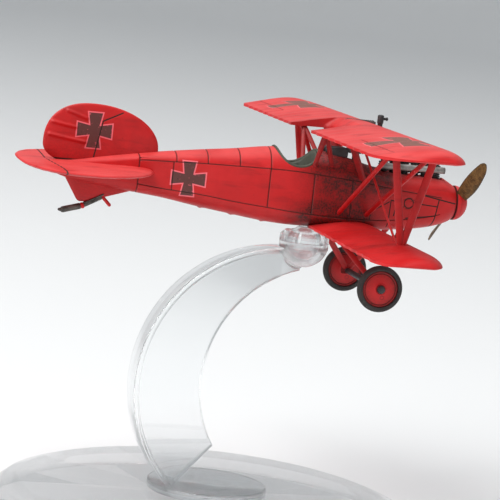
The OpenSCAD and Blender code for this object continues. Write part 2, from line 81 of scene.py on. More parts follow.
BODY_LOW, BODY_HIGH = local("fuselage_left_half")
LENGTH = -BODY_LOW[0]
HALF_WIDTH = BODY_HIGH[1] - 0.05
DEPTH = -BODY_LOW[2] / 0.455
UPPER_LOW, UPPER_HIGH = local("upper_wing")
LOWER_LOW, LOWER_HIGH = local("lower_wing_left")
TAIL_LOW, TAIL_HIGH = local("tailplane")
FIN_HIGH = local("fin_and_rudder")[1]
WHEEL_LOW, WHEEL_HIGH = local("tyre_left")
BALL_LOW, BALL_HIGH = corners("ball_stud")
BASE_HIGH = corners("stand_base")[1]

# ---- settings --------------------------------------------------------------


def size(name, description, default):
    """A length setting; default is in millimetres."""
    return bpy.props.FloatProperty(
        name=name, description=description, default=float(default) * MM, min=0.0, precision=6,
        unit="LENGTH", subtype="DISTANCE",
    )


def colour(name, description, default):
    """A colour setting, linear red, green and blue."""
    return bpy.props.FloatVectorProperty(
        name=name, description=description, default=default, size=3, min=0.0, max=1.0, subtype="COLOR"
    )


class FuselageSettings(bpy.types.PropertyGroup):
    """Sizes of the two fuselage shells and the cockpit."""

    wall: size("Wall", "Thickness of the moulded fuselage shells", 0.3)
    seam_depth: size("Seam depth", "Depth of an engraved panel line", 0.07)
    seam_width: size("Seam width", "Half width of an engraved panel line", 0.065)
    rim_roll: size("Rim roll", "Radius of the padded roll round the cockpit", 0.16)


class WingSettings(bpy.types.PropertyGroup):
    """Sizes of the fabric-covered wings and of the tail."""

    rib_pitch: size("Rib pitch", "Distance from rib to rib", 2.45)
    sag: size("Fabric sag", "How far the covering sinks between two ribs", 0.03)
    scallop: size("Scallop", "How far the trailing edge bends in between two ribs", 0.16)


class StandSettings(bpy.types.PropertyGroup):
    """Sizes of the clear stand."""

    edge: size("Edge round", "Radius of the stand's moulded edges", 0.25)


class PaintSettings(bpy.types.PropertyGroup):
    """Colours of the finishes."""

    red: colour("Red", "Body colour of the paint", (0.53, 0.005, 0.006))
    red_faded: colour("Faded red", "Body colour where the paint has faded", (0.64, 0.014, 0.016))
    # Pale red for surfaces that face up: dusty paint, and a painted sheen where the tops catch the light
    red_top: colour("Dusty red", "Body colour on surfaces that face up", (0.70, 0.062, 0.060))
    # Deep red for brush streaks and mottling, and for painted shade where the surface is marked dark
    red_deep: colour("Deep red", "Body colour in hollows", (0.22, 0.003, 0.004))
    # Colour of the panel-line washes and specks; it also paints shade in gaps, in the cockpit and at darkened
    # places
    wash: colour("Wash", "Thin dark paint that stays in the panel lines", (0.022, 0.008, 0.006))
    marking: colour("Marking", "Flared crosses", (0.055, 0.022, 0.016))
    # Lighter crosses on the wing tops: faded paint, and a painted sheen
    marking_faded_and_sheen: colour("Faded marking with painted sheen", "Flared crosses on the wing tops", (0.17, 0.075, 0.05))
    outline: colour("Outline", "Thin line round the crosses", (0.86, 0.15, 0.18))
    wood: colour("Wood", "Painted propeller", (0.17, 0.095, 0.03))
    rubber: colour("Rubber", "Tyres", (0.022, 0.019, 0.018))
    metal: colour("Metal", "Exhaust pipe", (0.36, 0.35, 0.33))
    soot: colour("Soot", "Engine and guns", (0.016, 0.015, 0.015))
    cockpit: colour("Cockpit", "Grey-green inside the cockpit", (0.055, 0.06, 0.042))
    leather: colour("Leather", "Seat cushion", (0.12, 0.06, 0.03))
    stand: colour("Stand", "Tint of the clear plastic", (0.95, 0.965, 0.97))


# ---- materials ---------------------------------------------------------------


class Number:
    """A shader socket that takes part in Python arithmetic by adding Math nodes."""

    def __init__(self, paint, socket):
        self.paint, self.socket = paint, socket

    def math(self, operation, *others):
        return self.paint.number("Math", {"operation": operation}, dict(enumerate((self, *others))))

    def __add__(self, other):
        return self.math("ADD", other)

    def __sub__(self, other):
        return self.math("SUBTRACT", other)

    def __rsub__(self, other):
        return self.paint.number("Math", {"operation": "SUBTRACT"}, {0: other, 1: self})

    def __mul__(self, other):
        return self.math("MULTIPLY", other)

    def __truediv__(self, other):
        return self.math("DIVIDE", other)

    def __abs__(self):
        return self.math("ABSOLUTE")

    def least(self, other):
        return self.math("MINIMUM", other)

    def most(self, other):
        return self.math("MAXIMUM", other)

    def clamp(self):
        return self.most(0.0).least(1.0)

    def ramp(self, low, high):
        """0 at low, 1 at high, smooth in between; low may be above high."""
        sockets = {"Value": self, "From Min": low, "From Max": high}
        return self.paint.number("MapRange", {"interpolation_type": "SMOOTHSTEP"}, sockets)

    __radd__, __rmul__ = __add__, __mul__


class Paint:
    """One procedural material on a Principled shader. Places are in millimetres."""

    def __init__(self, name, centre=NOSE, **constants):
        self.material = bpy.data.materials.new(name)
        self.material.use_nodes = True
        self.tree = self.material.node_tree
        self.shader = self.tree.nodes["Principled BSDF"]
        for socket, value in constants.items():
            self.shader.inputs[socket.replace("_", " ")].default_value = value
        placed = self.node("TexCoord").outputs["Object"]
        scaled = self.node("VectorMath", {"operation": "SCALE"}, {0: placed, "Scale": 1 / MM}).outputs[0]
        moved = self.node("VectorMath", {"operation": "SUBTRACT"}, {0: scaled, 1: tuple(centre)})
        self.place = moved.outputs[0]
        split = self.node("SeparateXYZ", {}, {0: self.place})
        self.x, self.y, self.z = (Number(self, output) for output in split.outputs)
        self.up = self.mark("up")

    def node(self, kind, settings=None, sockets=None):
        """Any node: its settings are set first, then the values or links of its sockets."""
        made = self.tree.nodes.new("ShaderNode" + kind)
        for key, value in (settings or {}).items():
            setattr(made, key, value)
        for key, value in (sockets or {}).items():
            value = value.socket if isinstance(value, Number) else value
            if isinstance(value, bpy.types.NodeSocket):
                self.tree.links.new(value, made.inputs[key])
            else:
                made.inputs[key].default_value = value
        return made

    def number(self, kind, settings=None, sockets=None, output=0):
        return Number(self, self.node(kind, settings, sockets).outputs[output])

    def noise(self, scale, detail=3.0, rough=0.55, stretch=(1, 1, 1)):
        """Fractal noise about 0.5; scale is in waves a millimetre."""
        where = self.node("Mapping", {}, {"Vector": self.place, "Scale": stretch}).outputs[0]
        sockets = {"Vector": where, "Scale": scale, "Detail": detail, "Roughness": rough}
        return self.number("TexNoise", {}, sockets)

    def spots(self, scale, share):
        """1 in small spots round scattered points; share is their size in cells."""
        near = self.number("TexVoronoi", {"feature": "F1"}, {"Vector": self.place, "Scale": scale})
        return near.ramp(share, share * 0.55)

    def mark(self, name):
        """A number stored on the surface's points."""
        return self.number("Attribute", {"attribute_name": name}, {}, "Fac")

    def mix(self, factor, first, second):
        """The first colour where factor is 0, the second where it is 1."""
        pair = [(*c, 1.0) if isinstance(c, tuple) else c for c in (first, second)]
        return self.node("Mix", {"data_type": "RGBA"}, {0: factor, 6: pair[0], 7: pair[1]}).outputs[2]

    def stroke(self, across, up, start, end, width):
        """1 along a straight line in the plane of two coordinates, 0 beyond half of width from it."""
        run = (end[0] - start[0], end[1] - start[1])
        square = run[0] ** 2 + run[1] ** 2
        along = (((across - start[0]) * run[0] + (up - start[1]) * run[1]) / square).clamp()
        off_a, off_u = across - start[0] - along * run[0], up - start[1] - along * run[1]
        return (off_a * off_a + off_u * off_u).math("SQRT").ramp(width * 0.75, width * 0.35)

    def cross(self, across, up, reach, waist, flare, edge=0.05):
        """1 in a cross of four arms: each is as long as reach, and widens from waist by flare of its run."""
        a, b = abs(across), abs(up)
        arms = [(waist - q + p * flare).least(reach - p) for p, q in ((a, b), (b, a))]
        return arms[0].most(arms[1]).ramp(-edge / 2, edge / 2)

    def finish(self, base, rough, height, distance):
        """Feeds the shader: colour, roughness, and a bump whose full height is distance in millimetres."""
        bump = self.node("Bump", {}, {"Height": height, "Distance": distance * MM}).outputs[0]
        for socket, value in {"Base Color": base, "Roughness": rough.socket, "Normal": bump}.items():
            self.tree.links.new(value, self.shader.inputs[socket])
        return self.material


def colours():
    """The colour settings as plain tuples."""
    chosen = bpy.context.scene.biplane_paint
    return {key: tuple(getattr(chosen, key)) for key in PaintSettings.__annotations__}


def red_paint(name, crosses=(), strokes=(), shade=0.0, marking="marking", dust_and_sheen=1.0, ring=None):
    """Satin red over moulded plastic: clouds, brush streaks, panel-line washes, grimy marks with painted
    shade, specks and markings.

    crosses are (plane, centre, reach, waist, flare) and strokes (plane, start, end, width), where plane names
    two axes. shade is the share of deep red, dust that of pale red painted on tops as dusty paint and a
    painted sheen, ring a port's x, z and radius."""
    c = colours()
    p = Paint(name, Specular_IOR_Level=0.42)
    clouds = p.noise(0.22, 4.0)
    streaks = p.noise(0.5, 3.0, 0.6, (0.35, 1.0, 2.4))
    grain = p.noise(6.0, 2.0)
    base = p.mix(clouds.ramp(0.35, 0.7) * 0.75, c["red"], c["red_faded"])
    # Painted sheen and dusty paint: pale red on surfaces that face up
    base = p.mix(p.up.ramp(0.45, 1.0) * (clouds.ramp(0.25, 0.6) * 0.5 + 0.4) * dust_and_sheen, base, c["red_top"])
    base = p.mix(streaks.ramp(0.52, 0.75) * 0.42, base, c["red_deep"])
    base = p.mix(grain.ramp(0.62, 0.8) * 0.25, base, c["red_faded"])
    if shade:
        base = p.mix(p.noise(0.6, 2.0).ramp(0.2, 0.9) * shade, base, c["red_deep"])
    for plane, centre, reach, waist, flare in crosses:
        across, up = (getattr(p, axis) - at for axis, at in zip(plane, centre))
        base = p.mix(p.cross(across, up, reach + 0.15, waist + 0.15, flare), base, c["outline"])
        worn = p.noise(2.5, 4.0).ramp(0.78, 0.6) * 0.94
        base = p.mix(p.cross(across, up, reach, waist, flare) * worn, base, c[marking])
    lines = p.mark("wash")
    for plane, start, end, width in strokes:
        lines = lines.most(p.stroke(getattr(p, plane[0]), getattr(p, plane[1]), start, end, width))
    if ring:
        off_x, off_z = p.x - ring[0], p.z - ring[1]
        away = (off_x * off_x + off_z * off_z).math("SQRT") - (ring[2] - 0.02)
        lines = lines.most(abs(away).ramp(0.09, 0.04))
    broken = p.noise(1.8, 3.0).ramp(0.2, 0.42) * 0.55 + 0.45
    stipple = p.noise(4.5, 3.0, 0.7).ramp(0.42, 0.6) * 0.6 + 0.4
    # Dirt and painted shade from the stored mark: deep red, then the darkest colour, broken up by noise
    grime = p.mark("grime") * (p.noise(1.1, 5.0, 0.65).ramp(0.3, 0.62) * 0.55 + 0.45) * stipple * 1.25
    specks = p.spots(1.6, 0.12) * p.noise(0.35, 2.0).ramp(0.55, 0.7) * 0.8
    base = p.mix(p.mark("grime").clamp() * 0.62, base, c["red_deep"])
    base = p.mix(grime.clamp() * 0.9, base, c["wash"])
    base = p.mix((lines * broken).clamp(), base, c["wash"])
    base = p.mix(specks.clamp(), base, c["wash"])
    rough = 0.40 + clouds * 0.16 + lines * 0.25 + grain * 0.05
    height = grain * 0.35 + streaks * 0.5 - specks * 0.6
    return p.finish(base, rough.clamp(), height, 0.012)


def plain_paint(name, key, second, contrast, rough, scale, metallic=0.0):
    """Paint with clouds and a dry-brushed grain of a second colour, darkened where marked: washes in its
    hollows and painted shade.
    """
    c = colours()
    p = Paint(name, Metallic=metallic)
    clouds, grain = p.noise(0.5 * scale, 4.0), p.noise(5.0 * scale, 3.0)
    base = p.mix(clouds.ramp(0.35, 0.7) * contrast, c[key], second)
    base = p.mix(grain.ramp(0.6, 0.78) * contrast * 0.7, base, second)
    base = p.mix(p.mark("wash").clamp() * 0.9, base, c["wash"])
    return p.finish(base, (rough + clouds * 0.2 + grain * 0.08 - 0.1).clamp(), grain, 0.012)


def clear_plastic(name, body):
    """Water-clear moulded plastic with faint flow lines and rubbed spots. body is the share of light that
    it bends where it is seen square on; more is bent towards its edges."""
    c = colours()
    p = Paint(name, ROW, Transmission_Weight=1.0, IOR=1.46)
    flow, rub = p.noise(0.12, 3.0, 0.5, (1, 1, 2.5)), p.noise(1.2, 4.0)
    base = p.mix(flow.ramp(0.3, 0.7) * 0.5, c["stand"], tuple(0.96 * v for v in c["stand"]))
    made = p.finish(base, rub.ramp(0.55, 0.8) * 0.07 + 0.015, flow, 0.02)
    facing = p.number("LayerWeight", {}, {"Blend": 0.35}, "Facing")
    through = p.node("BsdfTransparent", {}, {"Color": (0.985, 0.99, 0.992, 1)}).outputs[0]
    solid = (facing * 0.5 + flow * 0.1 + body).clamp()
    both = p.node("MixShader", {}, {0: solid, 1: through, 2: p.shader.outputs[0]}).outputs[0]
    p.tree.links.new(both, p.tree.nodes["Material Output"].inputs["Surface"])
    return made


def propeller_wood():
    """Brown paint over a carved blade: coarse dark grain, pale mottling and dark edges."""
    c = colours()
    p = Paint("propeller_wood", Specular_IOR_Level=0.4)
    grain, fine = p.noise(1.6, 5.0, 0.65), p.noise(6.0, 3.0)
    dark, light = (tuple(share * v for v in c["wood"]) for share in (0.45, 1.35))
    base = p.mix(grain.ramp(0.38, 0.66) * 0.8, dark, light)
    base = p.mix(fine.ramp(0.52, 0.68) * 0.55, base, (0.36, 0.23, 0.075))
    base = p.mix(p.mark("wash").clamp() * 0.85, base, c["soot"])
    return p.finish(base, (0.45 + grain * 0.25).clamp(), grain, 0.03)


# Flared crosses: plane, centre, reach of an arm, half width at the middle, flare
BODY_CROSSES = (("xz", (-32.4, 0.49), 1.93, 0.42, 0.16),)
FIN_CROSSES = (("xz", (-43.4, 4.9), 1.98, 0.42, 0.19),)
WING_CROSSES = tuple(("xy", (-13.4, side * 21.0), 4.3, 0.85, 0.17) for side in (-1, 1))
# Wash in fine panel lines that are too thin to engrave: plane, start, end, width
BODY_STROKES = (
    ("xz", (-2.5, 0.5), (-3.0, -2.9), 0.14), ("xz", (-2.6, -0.35), (-5.5, -0.15), 0.12),
    ("xz", (-2.8, -1.45), (-6.4, -1.95), 0.12), ("xz", (-7.6, -0.1), (-7.9, -1.75), 0.13),
    ("xz", (-0.3, 0.1), (-4.4, 0.85), 0.14),
    ("xz", (-7.6, -0.1), (-8.4, 0.0), 0.13), ("xz", (-8.4, 0.0), (-8.5, -3.2), 0.12),
    ("xz", (-8.6, -0.2), (-10.7, -1.5), 0.12), ("xz", (-10.7, -1.5), (-10.8, -2.4), 0.12),
)
FIN_HINGE = ((-40.3, 7.1), (-42.5, 6.0))
FIN_STROKES = (
    ("xz", *FIN_HINGE, 0.14), ("xz", (-42.5, 6.0), (-43.3, 1.4), 0.14),
    ("xz", (-49.2, 1.42), (-43.3, 1.42), 0.16),
)
TAIL_STROKES = tuple(("xy", (-48.6, side * 0.6), (-47.9, side * 11.4), 0.16) for side in (-1, 1))
# Round port in the cowl's side: x, z and radius of its engraved ring
PORT = (-6.2, -0.2, 0.58)

RED_PAINTS = {
    "red_paint": {},
    "red_strut": dict(shade=0.5),
    # The lower wings get little of the painted sheen on tops
    "red_lower": dict(dust_and_sheen=0.12),
    "red_wing": dict(crosses=WING_CROSSES, marking="marking_faded_and_sheen"),
    "red_tailplane": dict(strokes=TAIL_STROKES),
    "red_fin": dict(crosses=FIN_CROSSES, strokes=FIN_STROKES, shade=0.4),
    "red_fuselage": dict(crosses=BODY_CROSSES, strokes=BODY_STROKES, shade=0.2, ring=PORT),
}
# Share of bent light
CLEAR_PLASTICS = {"clear_base": 0.12, "clear_arm": 0.55, "clear_cup": 0.6}
# Colour setting, second colour, contrast, roughness, scale and metallic share
PLAIN_PAINTS = {
    "tyre_rubber": ("rubber", (0.06, 0.052, 0.048), 0.5, 0.65, 1.0),
    "engine_black": ("soot", (0.07, 0.066, 0.062), 0.5, 0.5, 1.4),
    "gun_black": ("soot", (0.07, 0.07, 0.075), 0.5, 0.45, 1.4),
    "pipe_metal": ("metal", (0.12, 0.10, 0.09), 0.75, 0.42, 1.2, 0.55),
    "skid_metal": ("soot", (0.17, 0.15, 0.13), 0.8, 0.5, 1.2, 0.3),
    "cockpit_green": ("cockpit", (0.12, 0.12, 0.09), 0.35, 0.6, 1.2),
    "seat_leather": ("leather", (0.05, 0.024, 0.012), 0.6, 0.55, 1.6),
    "radiator_dark": ("soot", (0.16, 0.13, 0.12), 0.8, 0.5, 1.4),
}
MATERIALS = {}


def material(name):
    """The finish with that name, made the first time that it is asked for."""
    if name not in MATERIALS:
        if name in RED_PAINTS:
            MATERIALS[name] = red_paint(name, **RED_PAINTS[name])
        elif name in CLEAR_PLASTICS:
            MATERIALS[name] = clear_plastic(name, CLEAR_PLASTICS[name])
        elif name in PLAIN_PAINTS:
            MATERIALS[name] = plain_paint(name, *PLAIN_PAINTS[name])
        else:
            MATERIALS[name] = propeller_wood()
    return MATERIALS[name]


# ---- meshes ------------------------------------------------------------------


def smooth(at, places, values):
    """Cubic through the points; the slope at each is the mean of the slopes on its two sides."""
    places, values = np.asarray(places, float), np.asarray(values, float)
    steps = np.diff(values) / np.diff(places)
    slopes = np.concatenate([steps[:1], (steps[1:] + steps[:-1]) / 2, steps[-1:]])
    k = np.clip(np.searchsorted(places, at) - 1, 0, len(places) - 2)
    wide = places[k + 1] - places[k]
    t = np.clip((at - places[k]) / wide, 0, 1)
    return (
        (1 + 2 * t) * (1 - t) ** 2 * values[k] + t * (1 - t) ** 2 * wide * slopes[k]
        + t * t * (3 - 2 * t) * values[k + 1] + t * t * (t - 1) * wide * slopes[k + 1]
    )


def bell(distance, width):
    """1 at distance 0, falling as exp(-(distance / width) squared)."""
    return np.exp(-((distance / width) ** 2))


def places_between(low, high, step, marks=(), near=0.06):
    """Even places from low to high, and seven close ones round each mark."""
    even = np.linspace(low, high, max(2, int(round((high - low) / step)) + 1))
    close = np.add.outer(np.array(marks, float), near * np.array([-3, -2, -1, 0, 1, 2, 3])).ravel()
    both = np.concatenate([even, close])
    return np.unique(np.round(both[(both >= low) & (both <= high)], 4))


def normals(p):
    """Unit normals of a grid, from the cross product of its two directions."""
    n = np.cross(np.gradient(p, axis=0), np.gradient(p, axis=1))
    return n / np.maximum(np.linalg.norm(n, axis=-1, keepdims=True), 1e-9)


def segment_distance(a, b, start, end):
    """Distance of the points (a, b) from the straight line between start and end."""
    run = np.subtract(end, start)
    t = np.clip(((a - start[0]) * run[0] + (b - start[1]) * run[1]) / (run @ run), 0, 1)
    return np.hypot(a - start[0] - t * run[0], b - start[1] - t * run[1])


class Shell:
    """Grids of points gathered into one mesh, in millimetres from the given origin."""

    def __init__(self, origin=NOSE):
        self.origin, self.points, self.faces, self.marks, self.count = origin, [], [], [], 0

    def grid(self, p, around=False, along=False, ends=False, wash=0.0, grime=0.0):
        """Quads between neighbours of p[row, column]. around joins the last column to the first, along the
        last row to the first, and ends closes the first and last rows with a fan."""
        rows, cols = p.shape[:2]
        i = np.arange(rows if along else rows - 1)[:, None]
        j = np.arange(cols if around else cols - 1)[None, :]
        corner = [i * cols + j, i * cols + (j + 1) % cols, (i + 1) % rows * cols + (j + 1) % cols,
                  (i + 1) % rows * cols + j]
        quads = np.stack(np.broadcast_arrays(*corner), -1)
        self.faces += (quads.reshape(-1, 4) + self.count).tolist()
        self._add(p.reshape(-1, 3), np.broadcast_to(wash, (rows, cols)), np.broadcast_to(grime, (rows, cols)))
        if ends:
            for row in (0, rows - 1):
                ring = self.count - rows * cols - (row > 0) + row * cols + np.arange(cols)
                fan = np.stack([ring, np.roll(ring, -1), np.full(cols, self.count)], -1)
                self.faces += fan.tolist()
                last = np.broadcast_to(wash, (rows, cols))[row].mean()
                self._add(p[row].mean(0)[None], np.array([[last]]), np.zeros((1, 1)))
        return self

    def _add(self, points, wash, grime):
        self.points.append(points)
        self.marks.append(np.stack([wash.ravel(), grime.ravel()]))
        self.count += len(points)

    def piece(self, name, body, slot, finish, *replaced, crease=40, wall=0.0):
        """Makes the object: merged points, faces outwards, marks stored, riding on its body."""
        mesh = bpy.data.meshes.new(name)
        points = (np.concatenate(self.points) + self.origin) * MM
        mesh.from_pydata(points.tolist(), [], self.faces)
        for key, values in zip(("wash", "grime"), np.concatenate(self.marks, 1)):
            mesh.attributes.new(key, "FLOAT", "POINT").data.foreach_set("value", values.astype(np.float32))
        work = bmesh.new()
        work.from_mesh(mesh)
        bmesh.ops.remove_doubles(work, verts=work.verts, dist=0.002 * MM)
        bmesh.ops.dissolve_degenerate(work, edges=work.edges, dist=0.0005 * MM)
        bmesh.ops.recalc_face_normals(work, faces=work.faces)
        work.to_mesh(mesh)
        work.free()
        # How far each point faces up; the red paints use it for the painted sheen and dusty paint on tops
        facing = np.empty(3 * len(mesh.vertices), np.float32)
        mesh.vertex_normals.foreach_get("vector", facing)
        mesh.attributes.new("up", "FLOAT", "POINT").data.foreach_set("value", facing[2::3].copy())
        mesh.shade_smooth()
        mesh.set_sharp_from_angle(angle=math.radians(crease))
        mesh.materials.append(material(finish))
        made = bpy.data.objects.new(name, mesh)
        bpy.context.scene.collection.objects.link(made)
        if wall:
            thick = made.modifiers.new("wall", "SOLIDIFY")
            thick.thickness, thick.offset = wall * MM, -1.0
        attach(made, body)
        if replaced:
            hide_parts(*replaced)
        return made


def revolve(profile, origin, axis="x", sides=48):
    """Points (along the axis, radius) turned about an axis through origin."""
    profile = np.asarray(profile, float)
    a = TAU * np.arange(sides) / sides
    t, r = profile[:, :1] + 0 * a, profile[:, 1:]
    ring = {"x": (t, r * np.cos(a), r * np.sin(a)), "y": (r * np.cos(a), t, r * np.sin(a)),
            "z": (r * np.cos(a), r * np.sin(a), t)}[axis]
    return np.stack(ring, -1) + origin


def round_profile(points, radius, steps=5):
    """The corners of an open profile, each cut back by radius and bent as a quadratic curve."""
    points = [np.array(q, float) for q in points]
    made = [points[0][None]]
    t = np.linspace(0, 1, steps)[:, None]
    for before, at, after in zip(points, points[1:], points[2:]):
        ends = [at + (q - at) * min(radius / np.linalg.norm(q - at), 0.48) for q in (before, after)]
        made.append((1 - t) ** 2 * ends[0] + 2 * t * (1 - t) * at + t * t * ends[1])
    return np.concatenate(made + [points[-1][None]])


def pillow(centre, half, square=0.35, rows=18, cols=28):
    """A box with round edges: sine and cosine of two angles, each raised to a small signed power."""
    power = lambda v: np.sign(v) * np.abs(v) ** square
    a = np.linspace(-np.pi / 2, np.pi / 2, rows)[:, None]
    b = TAU * np.arange(cols) / cols
    x, y = power(np.cos(a)) * power(np.cos(b)), power(np.cos(a)) * power(np.sin(b))
    z = power(np.sin(a)) + 0 * b
    return np.stack([x, y, z], -1) * half + centre


def tube(path, radius, sides=20, closed=False, up=(0, 0, 1)):
    """A circle carried along a path; radius may change from point to point."""
    path = np.asarray(path, float)
    if closed:
        run = np.roll(path, -1, 0) - np.roll(path, 1, 0)
    else:
        run = np.gradient(path, axis=0)
    run /= np.linalg.norm(run, axis=1, keepdims=True)
    side = np.cross(run, up)
    side /= np.linalg.norm(side, axis=1, keepdims=True)
    top = np.cross(side, run)
    a = TAU * np.arange(sides) / sides
    r = np.broadcast_to(radius, len(path))[:, None, None]
    return path[:, None] + r * (side[:, None] * np.cos(a)[:, None] + top[:, None] * np.sin(a)[:, None])


def rounded_rod(start, end, radius, rows=12, sides=20):
    """A rod with half-round ends: the radius falls as a quarter circle over its own length."""
    start, end = np.array(start, float), np.array(end, float)
    length = np.linalg.norm(end - start)
    cap = radius * (1 - np.cos(np.linspace(0, np.pi / 2, 6)))
    s = np.concatenate([cap, np.linspace(radius, length - radius, rows)[1:-1], length - cap[::-1]])
    edge = np.minimum(s, length - s).clip(0, radius)
    width = np.sqrt(np.maximum(radius**2 - (radius - edge) ** 2, 1e-6))
    up = (0, 0, 1) if abs(end[2] - start[2]) < 0.9 * length else (1, 0, 0)
    return tube(start + s[:, None] / length * (end - start), width, sides, up=up)


def fair_bar(start, end, chord, thick, rows=10, sides=28):
    """A streamlined bar: an oval with its long side towards the nose, fuller in front, carried from start to
    end and narrowed at both by the cube of the distance from its middle."""
    start, end = np.array(start, float), np.array(end, float)
    run = (end - start) / np.linalg.norm(end - start)
    across = np.cross(run, (1, 0, 0))
    across /= np.linalg.norm(across)
    fore = np.cross(across, run)
    a = TAU * np.arange(sides) / sides
    ahead, aside = chord / 2 * np.cos(a), thick / 2 * np.sin(a) * (1 + 0.28 * np.cos(a))
    oval = fore * ahead[:, None] + across * aside[:, None]
    t = np.linspace(0, 1, rows)[:, None, None]
    return start + t * (end - start) + oval * (1 - 0.10 * np.abs(2 * t - 1) ** 3)


# ---- fuselage ----------------------------------------------------------------

# Part of the length, part of the half width, then top, upper seam, lower seam and bottom by the depth
STATIONS = np.array([
    [0.003, 0.68, 0.225, 0.0, 0.0, -0.225], [0.014, 0.79, 0.26, 0.03, -0.05, -0.26],
    [0.038, 0.89, 0.325, 0.07, -0.12, -0.31], [0.085, 0.95, 0.35, 0.10, -0.19, -0.37],
    [0.17, 0.98, 0.365, 0.145, -0.26, -0.425], [0.22, 1.0, 0.395, 0.18, -0.28, -0.445],
    [0.275, 1.0, 0.47, 0.215, -0.285, -0.455], [0.337, 0.99, 0.53, 0.24, -0.28, -0.455],
    [0.42, 0.96, 0.545, 0.27, -0.255, -0.455], [0.475, 0.91, 0.54, 0.275, -0.23, -0.436],
    [0.57, 0.80, 0.47, 0.27, -0.185, -0.37], [0.65, 0.71, 0.42, 0.265, -0.135, -0.31],
    [0.735, 0.61, 0.36, 0.25, -0.105, -0.236], [0.80, 0.50, 0.31, 0.235, -0.07, -0.197],
    [0.885, 0.34, 0.235, 0.16, -0.03, -0.15], [0.96, 0.20, 0.16, 0.12, 0.0, -0.09],
    [1.0, 0.12, 0.145, 0.11, 0.02, -0.03],
])
# Distances behind the nose of the engraved lines across the deck and down the sides
TOP_LINES = (23.0, 26.6, 30.3, 33.9, 38.1)
SIDE_LINES = (13.2, 17.8, 23.0, 34.2, 38.1)
# Small fittings that stand up from the sides: distance behind the nose, height, half length, half height
SIDE_FITTINGS = ((23.2, 2.5, 0.33, 0.33), (15.4, 2.0, 0.4, 0.25))
BELLY_FITTINGS = (22.9, 26.6, 30.3)
# First and last distance of the lines along the seams
SEAM_RUN = (2.2, 38.1)
# Middle and radius of the cockpit's round scoop
COCKPIT_AT = 19.7
SCOOP_R = 2.7
# Front, back and half width of the engine bay
BAY = (1.6, 9.6, 1.35)


def section(d):
    """Half width, top, upper seam, lower seam and bottom at distances d behind the nose."""
    share = np.asarray(d, float) / LENGTH
    column = [smooth(share, STATIONS[:, 0], STATIONS[:, k]) for k in range(1, 6)]
    return column[0] * HALF_WIDTH, *(c * DEPTH for c in column[1:])


def scoop_height(d):
    """Height of the cockpit's round scoop, a cylinder across the fuselage, above its lowest line."""
    middle = section(COCKPIT_AT)[1] - 1.9 + SCOOP_R
    return middle - np.sqrt(np.maximum(SCOOP_R**2 - (d - COCKPIT_AT) ** 2, 0))


def top_angle(d):
    """Angle from the top where the skin starts: 0, or at the edge of the cockpit's scoop or engine bay."""
    w, top, seam = section(d)[:3]
    scooped = np.abs(d - COCKPIT_AT) < SCOOP_R
    share = np.clip((np.where(scooped, scoop_height(d), top) - seam) / (top - seam), 0, 1)
    bay = np.clip(np.minimum(d - BAY[0], BAY[1] - d) / 0.03, 0, 1) * np.arcsin(np.clip(BAY[2] / w, 0, 1))
    return np.maximum(np.arccos(share), bay)


def cockpit_ends():
    """Where the scoop meets the deck in front and behind, in distances behind the nose."""
    d = np.linspace(COCKPIT_AT - SCOOP_R, COCKPIT_AT + SCOOP_R, 2001)
    cut = d[top_angle(d) > 0.02]
    return cut[0], cut[-1]


